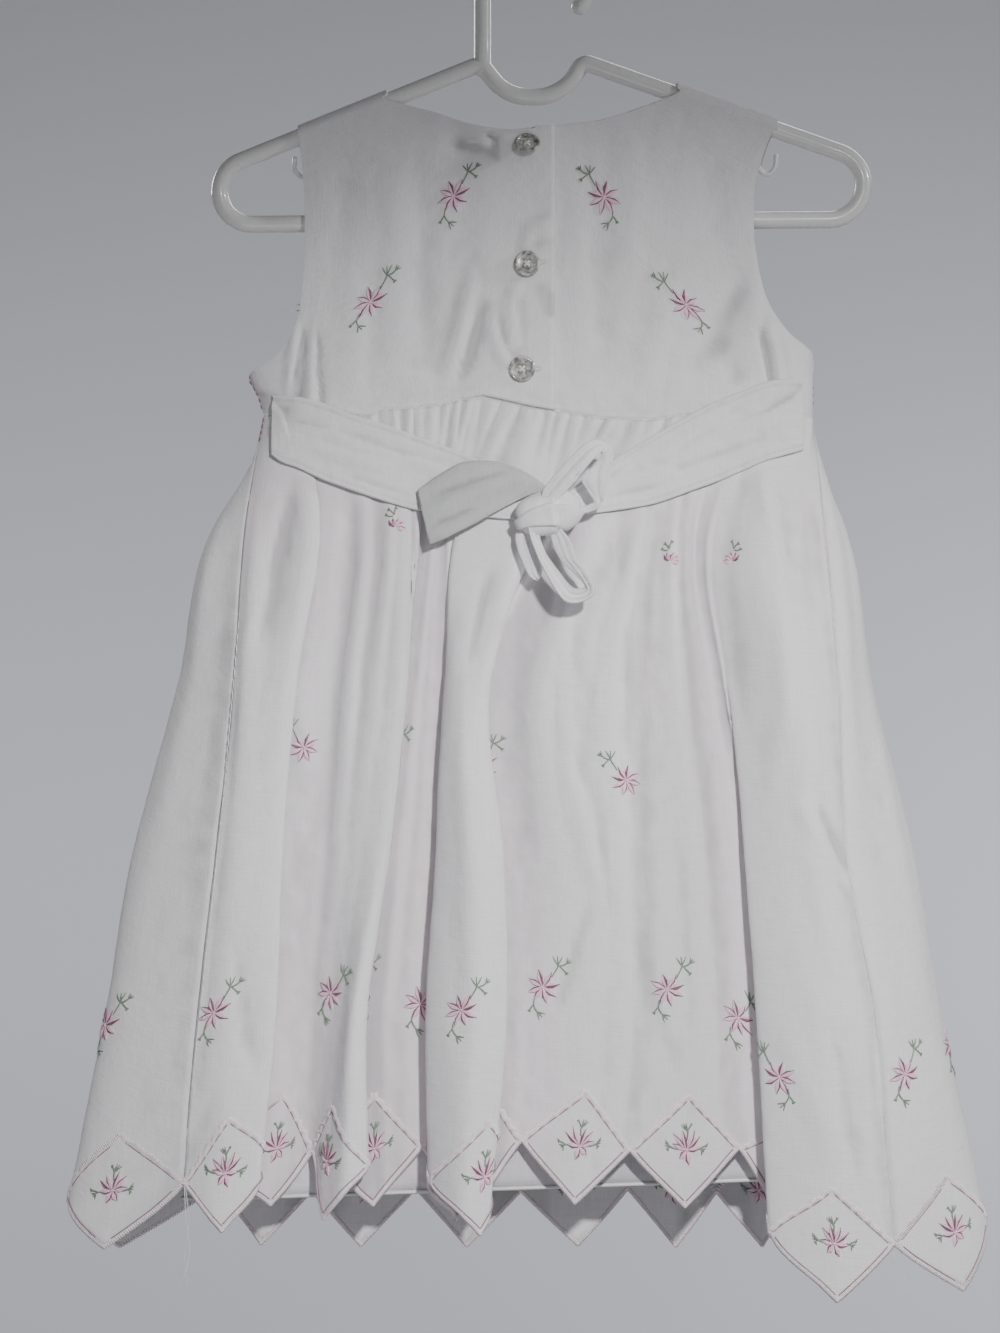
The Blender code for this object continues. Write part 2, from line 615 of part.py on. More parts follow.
# ---------------------------------------------------------------- sash, knot and bow
# x, z of the top edge, z of the bottom edge: stations of each tie from its side seam to the knot
SASH_LEFT = (
    (-122.0, -216.0, -244.0),
    (-117.0, -216.5, -247.5),
    (-110.0, -217.2, -250.0),
    (-98.5, -220.0, -255.4),
    (-86.0, -225.0, -260.0),
    (-70.5, -229.8, -265.3),
    (-54.7, -235.7, -269.7),
    (-38.6, -241.6, -272.0),
    (-25.3, -247.6, -272.9),
    (-12.0, -256.0, -274.0),
    (3.0, -266.0, -275.0),
)
SASH_RIGHT = (
    (123.5, -209.5, -241.5),
    (119.0, -209.0, -243.0),
    (112.0, -209.2, -245.0),
    (104.4, -211.0, -247.4),
    (86.0, -218.2, -255.4),
    (73.6, -224.2, -260.0),
    (55.2, -234.7, -266.5),
    (37.7, -245.3, -269.7),
    (24.8, -254.5, -271.5),
    (9.0, -266.0, -274.0),
)
SASH_ACROSS = 4
SASH_LIFT = 2.1
SASH_REACH = 3.5
LAP_REACH_X = -35.0  # from here to the edge of the opening the bodice's back lies on its underlap
FOLD_SAMPLE = 0.04
SLOPE_STEP = 2.0
STEEPEST = 2.2
PULL_LEFT = 0.0
PULL_RIGHT = 4.5  # how far the knot lifts the end of the right tie off the skirt
PULL_REACH = 32.0


def back_face(x, z):
    """Depth of the outermost cloth of the back at a place, bodice or skirt."""
    drop = WAIST_Z - z
    if drop <= 0.0:
        return float(chest_depth(x, z)) + (LAP_LIFT if LAP_REACH_X < x < PLACKET_EDGE_X else 0.0)
    u = np.arange(SIDE_LEFT_U, SIDE_RIGHT_U, FOLD_SAMPLE)
    xs, ys = skirt_section(u, np.full(len(u), drop))
    near = np.abs(xs - x) < SASH_REACH
    return float(np.max(-ys[near])) + GATHER_DEPTH if near.any() else 0.0


def tie_depth(x, z):
    """Depth of a tie lying on the back, lifted square to the slope of what it lies on."""
    slope = (back_face(x + SLOPE_STEP, z) - back_face(x - SLOPE_STEP, z)) / (2.0 * SLOPE_STEP)
    return back_face(x, z) + SASH_LIFT * min(math.hypot(1.0, slope), STEEPEST)


def sash_grid(stations, pull):
    """Grid of a tie. It is drawn straight, so no station lies deeper than its neighbours' middle."""
    rows = []
    for r in range(SASH_ACROSS + 1):
        heights = [top + (bottom - top) * r / SASH_ACROSS for x, top, bottom in stations]
        depths = [tie_depth(x, z) for (x, top, bottom), z in zip(stations, heights)]
        for k in range(2, len(depths) - 1):
            depths[k] = max(depths[k], (depths[k - 1] + depths[k + 1]) / 2.0)
        for k, (x, top, bottom) in enumerate(stations):
            depths[k] += pull * float(ease(1.0 - abs(x - KNOT_CENTRE[0]) / PULL_REACH))
        rows.append([(x, -d, z) for (x, top, bottom), d, z in zip(stations, depths, heights)])
    return np.array(rows)


# x, z of the upper and lower edge: the tail that lies across the left tie, from the knot out
TAIL_LEFT = (
    (7.0, -264.0, -269.5),
    (0.0, -258.5, -266.0),
    (-8.0, -254.0, -267.5),
    (-22.0, -249.0, -273.5),
    (-37.0, -248.5, -281.0),
    (-51.5, -260.0, -285.5),
)
TAIL_LIFT = 0.8
TAIL_REACH = 12.0  # how far to each side the stiff tail rests on what stands highest
# z, x of the left and right edge: the short tail that hangs below the knot
TAIL_LOW = ((-275.0, -6.0, 3.0), (-282.0, -9.6, 1.5), (-293.0, -7.4, 1.5), (-302.5, -2.0, 1.5))
TAIL_LOW_Y = -28.5

KNOT_CENTRE = (5.5, -32.0, -271.5)
KNOT_HALF = (15.5, 9.5, 10.0)
KNOT_LEAN = -12.0
KNOT_FULLNESS = 0.8  # 1 is an ellipsoid, less is nearer a box
KNOT_SEGMENTS = 18
KNOT_RINGS = 12

# name, start x, z inside the knot, tip x, z, height of the hollow, width of the band, tilt in degrees
LOOPS = (
    ("sash_loop_upper", (9.5, -268.0), (31.5, -242.5), 11.5, 14.0, 42.0),
    ("sash_loop_lower", (4.0, -275.0), (19.0, -311.0), 10.5, 14.0, -42.0),
)
LOOP_CLOTH = 1.8
LOOP_Y = -34.0
LOOP_STEPS = 18
LOOP_OPEN = 0.05  # share of a loop's turn that is left open, inside the knot
LOOP_GATHER = 0.55  # width of the band where the knot grips it


def knot_mesh(name, room=0.0):
    """The knot as a full rounded form, or with room the space around it."""
    mesh = bpy.data.meshes.new(name)
    work = bmesh.new()
    bmesh.ops.create_uvsphere(work, u_segments=KNOT_SEGMENTS, v_segments=KNOT_RINGS, radius=1.0)
    turn = Matrix.Rotation(math.radians(KNOT_LEAN), 3, "Y")
    for vert in work.verts:
        full = [math.copysign(abs(c) ** KNOT_FULLNESS, c) * (h + room) for c, h in zip(vert.co, KNOT_HALF)]
        vert.co = (turn @ Vector(full) + Vector(KNOT_CENTRE)) * MM
    work.to_mesh(mesh)
    work.free()
    mesh.shade_smooth()
    return mesh


def loop_grid(start, tip, hollow, wide, tilt):
    """Grid of a loop: its band leaves the knot, turns at the tip and comes back."""
    start = Vector(start)
    along = (Vector(tip) - start) / 2.0
    across = Vector((-along.y, along.x)).normalized()
    lean = math.radians(tilt)
    grid = np.zeros((3, LOOP_STEPS + 1, 3))
    for c, share in enumerate(np.linspace(LOOP_OPEN, 1.0 - LOOP_OPEN, LOOP_STEPS + 1)):
        turn = math.tau * share
        out = 1.0 - math.cos(turn)
        rise = hollow / 2.0 * math.sin(turn)
        half = wide / 2.0 * (LOOP_GATHER + (1.0 - LOOP_GATHER) * float(ease(out)))
        for r, side in enumerate((-half, 0.0, half)):
            sideways = rise * math.cos(lean) - side * math.sin(lean)
            depth = rise * math.sin(lean) + side * math.cos(lean)
            x, z = start + along * out + across * sideways
            grid[r, c] = (x, LOOP_Y + depth, z)
    return grid


def tail_left_grid():
    """Grid of the tail that lies on the left tie."""
    grid = np.zeros((3, len(TAIL_LEFT), 3))
    for c, (x, top, bottom) in enumerate(TAIL_LEFT):
        for r, z in enumerate((top, (top + bottom) / 2.0, bottom)):
            under = max(tie_depth(x + reach, z) for reach in (-TAIL_REACH, 0.0, TAIL_REACH))
            grid[r, c] = (x, -under - SASH_CLOTH - TAIL_LIFT, z)
    return grid


def tail_low_grid():
    """Grid of the short tail below the knot."""
    return np.array([
        [(x, TAIL_LOW_Y, z) for x in (left, (left + right) / 2.0, right)]
        for z, left, right in TAIL_LOW
    ])


def build_sash(parts, tools, finish):
    room = add_object("knot_room", knot_mesh("knot_room", SEAM_GAP), tools)
    hide_tool(room)
    bands = [
        ("sash_left", sash_grid(SASH_LEFT, PULL_LEFT), SASH_CLOTH),
        ("sash_right", sash_grid(SASH_RIGHT, PULL_RIGHT), SASH_CLOTH),
        ("sash_tail_left", tail_left_grid(), SASH_CLOTH),
        ("sash_tail_low", tail_low_grid(), SASH_CLOTH),
    ]
    bands += [(name, loop_grid(*shape), LOOP_CLOTH) for name, *shape in LOOPS]
    for name, grid, thickness in bands:
        band = cloth_wall(name, grid, thickness, finish, parts)
        add_boolean(band, room, "DIFFERENCE")
    add_object("sash_knot", knot_mesh("sash_knot"), parts, finish)


# ---------------------------------------------------------------- buttons
# radius, height: half section of a button, from its axis underneath to its axis on top
BUTTON_PROFILE = (
    (0.0, 0.0),
    (4.6, 0.0),
    (5.8, 0.7),
    (6.0, 1.4),
    (5.5, 2.1),
    (4.9, 2.2),
    (4.3, 1.7),
    (0.0, 1.5),
)
BUTTON_SIDES = 20
BUTTON_HOLE_RADIUS = 0.75
BUTTON_HOLE_SPREAD = 1.5
BUTTON_HOLE_SIDES = 8
BUTTON_HOLE_LENGTH = 6.0
# name, x, z, lean: the top one is turned up by the folded corner of the neck
BUTTONS = (
    ("button_top", -4.1, -101.3, 38.0),
    ("button_middle", -4.1, -156.1, 4.0),
    ("button_low", -6.4, -204.4, -3.0),
)


def button_mesh(name):
    mesh = bpy.data.meshes.new(name)
    verts = [(r * MM, 0.0, h * MM) for r, h in BUTTON_PROFILE]
    mesh.from_pydata(verts, [(k, k + 1) for k in range(len(verts) - 1)], [])
    return mesh


def button_place(x, z, lean):
    """Where a button lies, its axis square to the back or leaning up, its rim just clear of the cloth."""
    turn = Matrix.Rotation(math.radians(90.0 - lean), 4, "X")
    depths = []
    for radius, height in BUTTON_PROFILE:
        for angle in np.linspace(0.0, math.tau, BUTTON_SIDES, endpoint=False):
            rim = turn @ Vector((radius * math.cos(angle), radius * math.sin(angle), height))
            depths.append(float(chest_depth(x + rim.x, z + rim.z)) + rim.y)
    depth = max(depths) + LAP_LIFT + CLOTH / 2.0 + SEAM_GAP
    return Matrix.Translation(Vector((x, -depth, z)) * MM) @ turn


def hole_mesh(name):
    """The four thread holes as rods through the button."""
    mesh = bpy.data.meshes.new(name)
    work = bmesh.new()
    for sx in (-1, 1):
        for sy in (-1, 1):
            bmesh.ops.create_cone(
                work,
                cap_ends=True,
                segments=BUTTON_HOLE_SIDES,
                radius1=BUTTON_HOLE_RADIUS * MM,
                radius2=BUTTON_HOLE_RADIUS * MM,
                depth=BUTTON_HOLE_LENGTH * MM,
                matrix=Matrix.Translation(Vector((sx, sy, 0.0)) * BUTTON_HOLE_SPREAD * MM),
            )
    work.to_mesh(mesh)
    work.free()
    return mesh


def build_buttons(parts, tools, finish):
    for name, x, z, lean in BUTTONS:
        button = add_object(name, button_mesh(name), parts, finish)
        button.matrix_world = button_place(x, z, lean)
        turned = button.modifiers.new("Turned", "SCREW")
        turned.axis = "Z"
        turned.angle = math.tau
        turned.steps = BUTTON_SIDES
        turned.render_steps = BUTTON_SIDES
        turned.use_merge_vertices = True
        turned.merge_threshold = 0.00001
        turned.use_smooth_shade = True
        holes = add_object(f"{name}_holes", hole_mesh(f"{name}_holes"), tools)
        holes.matrix_world = button.matrix_world
        hide_tool(holes)
        add_boolean(button, holes, "DIFFERENCE")


# ---------------------------------------------------------------- the whole
def main():
    for obj in list(bpy.data.objects):
        bpy.data.objects.remove(obj, do_unlink=True)
    parts = bpy.data.collections.new("toddler_dress_on_hanger")
    tools = bpy.data.collections.new("cutters")
    bpy.context.scene.collection.children.link(parts)
    bpy.context.scene.collection.children.link(tools)
    cotton = material("cotton", COTTON, 0.85)
    lining = material("lining", COTTON_SHADE, 0.85)
    build_hanger(parts, tools, material("plastic", PLASTIC, 0.25))
    build_bodice(parts, cotton)
    build_skirt(parts, cotton, lining)
    build_sash(parts, tools, cotton)
    build_buttons(parts, tools, material("pearl", PEARL, 0.3))


main()
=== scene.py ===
# %% [markdown]
# # A toddler's cotton dress on its hanger
# The dress hangs with its buttoned back to -Y. It is white plain-weave cotton with pink and green
# embroidery, a tied sash, and a skirt whose hem is cut in a zigzag round embroidered diamonds. The
# solids of the frame carry its form. Here every solid gets a fine skin with its creases, and then the
# threads, seams, stitches and buttons that a maker would sew on.

# %% The frame and the units
import math

import bmesh
import bpy
import numpy as np
from mathutils import Matrix, Vector, noise


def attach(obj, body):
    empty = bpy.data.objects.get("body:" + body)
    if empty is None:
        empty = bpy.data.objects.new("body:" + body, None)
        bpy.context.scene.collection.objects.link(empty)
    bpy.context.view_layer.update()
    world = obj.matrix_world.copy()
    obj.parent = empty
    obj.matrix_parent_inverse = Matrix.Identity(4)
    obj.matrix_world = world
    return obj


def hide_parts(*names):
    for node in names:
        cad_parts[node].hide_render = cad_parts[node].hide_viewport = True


MM = 0.001
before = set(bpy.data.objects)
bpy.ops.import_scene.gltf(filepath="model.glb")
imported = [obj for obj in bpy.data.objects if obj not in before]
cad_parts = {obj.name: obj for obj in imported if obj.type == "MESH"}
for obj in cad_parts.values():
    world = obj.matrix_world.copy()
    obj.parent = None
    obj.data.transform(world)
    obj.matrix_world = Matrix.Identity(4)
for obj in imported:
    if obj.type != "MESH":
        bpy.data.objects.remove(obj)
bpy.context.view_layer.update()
print("nodes:", ", ".join(sorted(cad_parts)))

# %% [markdown]
# ## Curves through short tables
# Cloth is described by a few named rows, and a smooth curve fills in what lies between them. A cubic
# with weighted slopes (as in many drawing programs) never swings far past its points, which matters
# where two layers of cloth lie a few millimetres apart.

# %% Curve helpers
def hermite(low, high, slope_low, slope_high, span, t):
    """Cubic between two values with the slopes at its two ends; t runs from 0 to 1."""
    t2 = t * t
    t3 = t2 * t
    return (
        (2 * t3 - 3 * t2 + 1) * low
        + (t3 - 2 * t2 + t) * span * slope_low
        + (3 * t2 - 2 * t3) * high
        + (t3 - t2) * span * slope_high
    )


def slopes(knots, values):
    """Slope at each knot: the two neighbouring chords, weighted by their lengths."""
    step = np.diff(knots)
    chord = np.diff(values, axis=-1) / step
    inner = (chord[..., :-1] * step[1:] + chord[..., 1:] * step[:-1]) / (step[1:] + step[:-1])
    return np.concatenate([chord[..., :1], inner, chord[..., -1:]], axis=-1)


def spline(knots, values, at):
    """Smooth curve through values at rising knots, straight past its ends."""
    knots = np.asarray(knots, float)
    values = np.asarray(values, float)
    at = np.atleast_1d(np.asarray(at, float))
    slope = slopes(knots, values)
    i = np.clip(np.searchsorted(knots, at, side="right") - 1, 0, len(knots) - 2)
    span = knots[i + 1] - knots[i]
    t = np.clip((at - knots[i]) / span, 0.0, 1.0)
    inside = hermite(values[..., i], values[..., i + 1], slope[..., i], slope[..., i + 1], span, t)
    below = slope[..., :1] * np.minimum(at - knots[0], 0.0)
    above = slope[..., -1:] * np.maximum(at - knots[-1], 0.0)
    return inside + below + above


def ease(t):
    """0 to 1 with level ends."""
    t = np.clip(t, 0.0, 1.0)
    return t * t * (3.0 - 2.0 * t)


def finer(values, count):
    """More values along the last axis of a table, on the smooth curves through those given."""
    last = values.shape[-1] - 1
    return spline(np.arange(last + 1), values, np.linspace(0, last, count))


def smooth_path(points, count):
    """More points along the smooth curve through a few."""
    return finer(np.array(points, float).T, count).T


def points_between(at, known, points):
    """Points on a line at some places along it, where the places of its own points are known."""
    return np.stack([np.interp(at, known, points[:, k]) for k in range(3)], axis=-1)


# %% [markdown]
# ## The bodice's hanging form
# A sleeveless bodice on a hanger lies nearly flat. Its two layers wrap over the hanger's sloping arms,
# hang down a little apart, and close at the side seams. One formula for half its depth serves all
# three bodice panels, so they nearly meet at their seams, and a last small pull closes them.

# %% Sizes of the bodice, in millimetres
HANGER_CORNERS = (
    ("stem foot", -25.5, -61.5, 5.0),
    ("dip left", -13.8, -77.0, 22.0),
    ("dip right", 12.3, -77.0, 22.0),
    ("right peak", 21.9, -60.6, 4.5),
    ("right end", 228.4, -133.3, 16.1),
    ("left end", -211.4, -136.7, 15.2),
)
CLOTH = 0.9
SEAM_GAP = 0.3
SEAM_END = 0.4
WAIST_END = 0.03
SEAM_SLIT = 0.06
WAIST_Z = -225.0
CHEST_DEPTH = 13.0
SIDE_POWER = 6.0
WRAP_RADIUS = 5.0
WRAP_HEIGHT = 5.4
DRAPE_HEIGHT = 70.0
PLACKET_EDGE_X = 8.7
UNDERLAP_EDGE_X = -13.0
LAP_LIFT = 1.7
LAP_EASE = 26.0
LAP_RUN = 22.0
LAP_FROM_DEPTH = 4.0
OUTER_CROWDING = 1.7
SIDE_DROPS = (0.0, 19.0, 200.0)
SIDE_LEFT_X = (-126.0, -133.0, -133.0)
SIDE_RIGHT_X = (128.4, 128.4, 128.4)


def ridge_z(x):
    """Height of the shoulder line, just over the hanger's sloping arms."""
    corner = {name: (cx, cz) for name, cx, cz, radius in HANGER_CORNERS}
    heights = []
    for top, end in (("stem foot", "left end"), ("right peak", "right end")):
        (x0, z0), (x1, z1) = corner[top], corner[end]
        heights.append(z0 + (x - x0) * (z1 - z0) / (x1 - x0))
    return np.where(x < 0, heights[0], heights[1]) + WRAP_HEIGHT


def chest_depth(x, z):
    """Half the depth of the hanging bodice at a place on it."""
    x = np.asarray(x, float)
    z = np.asarray(z, float)
    rise = z - WAIST_Z
    left = spline(SIDE_DROPS, SIDE_LEFT_X, rise.ravel()).reshape(rise.shape)
    right = spline(SIDE_DROPS, SIDE_RIGHT_X, rise.ravel()).reshape(rise.shape)
    across = np.where(x < 0, x / left, x / right)
    full = CHEST_DEPTH * np.sqrt(np.clip(1.0 - np.clip(across, 0.0, 1.0) ** SIDE_POWER, 0.0, 1.0))
    below = np.clip(ridge_z(x) - z, 0.0, None)
    lean = np.clip((WRAP_HEIGHT - below) / WRAP_HEIGHT, 0.0, 1.0)
    wrap = WRAP_RADIUS * np.sqrt(1.0 - lean**2)
    hang = WRAP_RADIUS + (full - WRAP_RADIUS) * ease((below - WRAP_HEIGHT) / DRAPE_HEIGHT)
    hang = np.minimum(hang, np.maximum(full, 0.0) + WRAP_RADIUS * (below < DRAPE_HEIGHT))
    return np.where(below < WRAP_HEIGHT, wrap, hang)


# %% Rows of the bodice panels
# inner x, inner z, outer x, outer z: ends of each row, from the waist to the neck and the armhole
LEFT_BACK_ROWS = (
    (8.7, -225.0, -126.0, -225.0),
    (8.7, -212.0, -128.5, -216.0),
    (8.7, -197.0, -133.0, -206.5),
    (8.7, -176.0, -119.0, -197.0),
    (8.7, -154.0, -110.0, -181.0),
    (8.7, -130.0, -107.2, -156.0),
    (8.7, -107.0, -107.0, -129.5),
    (8.7, -91.0, -107.6, -118.0),
    (-11.0, -93.5, -108.4, -108.9),
    (-30.0, -90.5, -109.2, -102.0),
    (-48.0, -84.5, -109.9, -96.4),
)
RIGHT_BACK_ROWS = (
    (-13.0, -225.0, 128.4, -225.0),
    (-13.0, -212.0, 128.4, -211.0),
    (-13.0, -197.0, 128.4, -197.0),
    (-13.0, -178.0, 116.0, -186.0),
    (-13.0, -156.0, 106.0, -170.0),
    (-13.0, -134.0, 101.2, -148.0),
    (-13.0, -113.0, 101.0, -124.0),
    (-13.0, -95.5, 103.2, -113.5),
    (8.7, -91.5, 105.0, -105.5),
    (30.0, -88.5, 107.6, -98.5),
    (48.5, -82.5, 110.2, -93.0),
)
FRONT_LEFT_ROWS = (
    (0.0, -225.0, -126.0, -225.0),
    (0.0, -215.0, -128.5, -216.0),
    (0.0, -203.0, -133.0, -206.5),
    (0.0, -186.0, -119.0, -197.0),
    (0.0, -168.0, -110.0, -181.0),
    (0.0, -150.0, -107.2, -162.0),
    (0.0, -134.0, -107.0, -147.0),
    (-22.0, -130.0, -107.0, -136.0),
    (-41.0, -119.0, -107.2, -123.0),
    (-54.0, -104.0, -108.4, -110.5),
    (-62.0, -89.5, -109.9, -99.5),
)
FRONT_RIGHT_ROWS = (
    (0.0, -225.0, 128.4, -225.0),
    (0.0, -215.0, 128.4, -211.0),
    (0.0, -203.0, 128.4, -197.0),
    (0.0, -186.0, 116.0, -186.0),
    (0.0, -168.0, 106.0, -172.0),
    (0.0, -150.0, 101.4, -156.0),
    (0.0, -134.0, 101.0, -143.0),
    (20.0, -130.0, 101.2, -133.0),
    (38.0, -118.0, 102.6, -119.0),
    (50.5, -102.0, 105.6, -107.0),
    (58.5, -87.0, 109.2, -96.5),
)
LEFT_SHOULDER = (-69.0, -110.4)
RIGHT_SHOULDER = (65.3, 112.2)
SHOULDER_DROPS = (5.2, 2.6, 0.8, 0.0)
BACK_CORNER = 7
FRONT_CORNER = 6
BODICE_STEPS = 8
BODICE_COLUMNS = 100


def run_between(values, corner):
    """Each row's value, and finer ones between them, with a sharp corner kept at one row."""
    values = np.array(values, float)
    parts = values[: corner + 1], values[corner:]
    low, high = (finer(part, (len(part) - 1) * BODICE_STEPS + 1) for part in parts)
    return np.concatenate([low, high[1:]])


def bodice_grid(rows, shoulder, toward, corner, lap=0.0):
    """Fine grid of a bodice panel, from the waist up, and from its inner to its outer edge."""
    inner = [(r[0], r[1]) for r in rows]
    outer = [(r[2], r[3]) for r in rows]
    for drop in SHOULDER_DROPS:
        inner.append((shoulder[0], float(ridge_z(shoulder[0])) - drop))
        outer.append((shoulder[1], float(ridge_z(shoulder[1])) - drop))
    ends = [run_between([p[k] for p in side], corner) for side in (inner, outer) for k in (0, 1)]
    share = 1.0 - (1.0 - np.linspace(0.0, 1.0, BODICE_COLUMNS)) ** OUTER_CROWDING
    x = ends[0][:, None] + (ends[2] - ends[0])[:, None] * share
    z = ends[1][:, None] + (ends[3] - ends[1])[:, None] * share
    z[0] = WAIST_Z + WAIST_END
    depth = chest_depth(x, z)
    if lap:
        reach = (x - (UNDERLAP_EDGE_X - LAP_EASE)) / LAP_RUN
        depth = depth + lap * ease(reach) * (depth > LAP_FROM_DEPTH)
    y = toward * np.maximum(depth, SEAM_END)
    return np.stack([x, y, z], axis=-1)


# %% [markdown]
# ## The skirt as one ring of cloth
# The gathered skirt is eleven diamonds wide at the back and eleven at the front. Its folds are rows of
# a table: where along the hem a fold lies, and where it stands across and in depth at five heights.
# Between the rows runs a smooth closed curve, so a horizontal section at any drop below the waist is
# real cloth that folds over itself without crossing.

# %% The skirt's fold tables
PITCHES = 22
SIDE_LEFT_U = 1.0
SIDE_RIGHT_U = 12.0
DIAMOND_DROP = 26.5
WAIST_PITCH = 24.0
WAIST_REACH = 40.0
LEVELS = (0.0, 50.0, 125.0, 205.0, 280.0, 350.0)
# name, u: place along the cut hem in diamonds, hem: drop of the hem's notches there,
# x: across at the five levels below the waist, y: in depth at the same levels (-Y is the back)
BACK_FOLDS = (
    ("left turn", 0.0, 360.7, (-146.7, -165.6, -187, -199.4, -213.7), (3, 1, -2, -5, -8)),
    ("left seam", 1.0, 353.4, (-133.9, -138.9, -146.7, -155.5, -161), (-12, -22, -27, -29, -30)),
    ("left crest", 1.5, 348.0, (-118, -125, -132, -138, -142), (-17, -28, -33, -35, -36)),
    ("left edge", 1.85, 343.7, (-100.3, -110, -116.4, -119.1, -126), (-17.5, -26, -30, -32, -33)),
    ("left under", 2.15, 341.0, (-101, -119, -129, -133, -140), (-15.5, -20, -22, -23, -24)),
    ("left recess", 2.5, 339.0, (-91, -101, -109, -114, -121), (-15, -15.5, -15.5, -15, -15)),
    ("cone foot", 3.0, 340.5, (-79, -86, -93, -100, -104), (-15.5, -17.5, -18, -14.5, -14)),
    ("cone left", 3.5, 344.0, (-67, -72, -80, -89.5, -96), (-16.5, -20, -23, -24, -25)),
    ("cone crest", 3.8, 345.0, (-60, -63, -71.5, -83.5, -86), (-17, -22, -27, -33, -34)),
    ("cone right", 4.0, 345.0, (-57, -59.3, -67.6, -78, -76.8), (-16.5, -20.5, -25, -29, -29)),
    ("cone under", 4.25, 342.0, (-54, -63, -74, -82, -84), (-15.5, -17.5, -19, -21, -20)),
    ("strip left", 4.5, 339.5, (-49, -57, -66, -74, -75), (-15, -14.5, -14, -13, -12.5)),
    ("strip", 5.0, 338.6, (-43, -47, -51, -55, -52), (-15.5, -14.5, -13.5, -12.5, -12.5)),
    ("centre behind", 5.5, 346.0, (-37.5, -35, -35, -37, -37), (-16, -15, -14.5, -14, -14)),
    ("centre left", 6.0, 352.9, (-32, -41.5, -45.5, -49.7, -48.8), (-18.5, -22.5, -25, -26, -26)),
    ("centre crest", 6.3, 350.5, (-20, -34, -31, -32, -34), (-20.5, -32, -37, -39, -38)),
    ("centre right", 6.6, 349.0, (-4, -22.5, -16.1, -15.2, -20.7), (-20, -28, -31, -32, -33)),
    ("centre under", 7.2, 341.4, (3, -30, -29, -28, -33), (-17, -20.5, -21.5, -22, -23)),
    ("panel left", 7.75, 336.8, (11, -20.5, -13, -11, -17), (-16, -15.5, -15, -14.5, -14)),
    ("panel start", 8.0, 335.4, (20, -6, -1, -2, -8), (-16.5, -17, -17, -16.5, -15.5)),
    ("panel ridge", 8.5, 337.5, (38, 14.3, 21.2, 24.8, 18.9), (-17.5, -21.5, -21.5, -20, -19.5)),
    ("panel middle", 9.0, 339.6, (51, 42, 46, 48, 42.3), (-17, -19, -19, -19, -18.5)),
    ("panel flat", 9.5, 339.4, (63, 63, 68.5, 71, 69), (-16.5, -17, -17, -18, -18.5)),
    ("panel end", 10.1, 340.5, (73, 79, 90, 95, 98.5), (-16, -15, -15, -15.5, -16)),
    ("right behind", 10.55, 357.5, (79, 87, 104, 110, 114.5), (-16, -15, -15.5, -16.5, -18)),
    ("right edge", 11.0, 375.0, (88, 92.5, 96.6, 101.7, 105.3), (-18, -19.5, -27, -31, -33)),
    ("right ridge", 11.4, 378.5, (106, 115.5, 121.4, 125, 128.3), (-21, -33, -39, -41, -41)),
    ("right seam", 12.0, 380.0, (133, 138.5, 141.7, 155, 160.5), (-11, -25, -33, -36, -37)),
    ("right turn", 13.0, 370.4, (140.3, 156, 175.3, 188, 203), (4, 0, -4, -8, -12)),
)
# name, u, hem, x and y at the lowest level: soft uneven waves of the front, which lies to the wall
FRONT_FOLDS = (
    ("front right hollow", 14.0, 364.0, 168.0, 15.0),
    ("front right wave", 15.0, 363.5, 124.0, 28.0),
    ("front inner hollow", 16.0, 363.5, 84.0, 18.0),
    ("front middle wave", 17.2, 363.5, 34.0, 29.0),
    ("front middle hollow", 18.1, 363.5, -12.0, 20.0),
    ("front left wave", 19.0, 363.5, -56.0, 30.0),
    ("front left hollow", 20.0, 363.0, -104.0, 18.0),
    ("front last wave", 21.0, 362.0, -150.0, 25.0),
)
FRONT_GROWTH = (0.28, 0.55, 0.76, 0.9, 1.0)


# %% Sections of the skirt
def ring_at_waist(u):
    """Waist section: pitches 1 to 12 run along the back from left to right, 12 to 23 along the front."""
    theta = np.linspace(0.0, 2.0 * math.pi, 721)
    side = np.where(np.cos(theta) > 0, SIDE_LEFT_X[0], SIDE_RIGHT_X[0])
    xs = side * np.abs(np.cos(theta)) ** (2.0 / SIDE_POWER)
    ys = -CHEST_DEPTH * np.sin(theta)
    run = np.concatenate([[0.0], np.cumsum(np.hypot(np.diff(xs), np.diff(ys)))])
    half = run[360]
    turn = np.mod(np.asarray(u, float) - SIDE_LEFT_U, PITCHES)
    at = np.where(turn <= 11.0, turn / 11.0 * half, half + (turn - 11.0) / 11.0 * (run[-1] - half))
    return np.interp(at, run, xs), np.interp(at, run, ys)


def fold_rows():
    """Rows of both tables as arrays: u, hem drop, and x and y at every level, the waist's first."""
    rows = []
    for name, u, hem, xs, ys in BACK_FOLDS:
        x0, y0 = ring_at_waist(u)
        rows.append((u, hem, (float(x0), *xs), (float(y0), *ys)))
    for name, u, hem, x, y in FRONT_FOLDS:
        x0, y0 = ring_at_waist(u)
        xs = [float(x0) + (x - float(x0)) * g for g in FRONT_GROWTH]
        ys = [float(y0) + (y - float(y0)) * g for g in FRONT_GROWTH]
        rows.append((u, hem, (float(x0), *xs), (float(y0), *ys)))
    return [np.array([r[k] for r in rows]) for k in range(4)]


fold_u, fold_hem, fold_x, fold_y = fold_rows()
WRAP = 3
ring_u = np.concatenate([fold_u[-WRAP:] - PITCHES, fold_u, fold_u[:WRAP] + PITCHES])
ring_hem, ring_x, ring_y = (np.concatenate([t[-WRAP:], t, t[:WRAP]]) for t in (fold_hem, fold_x, fold_y))


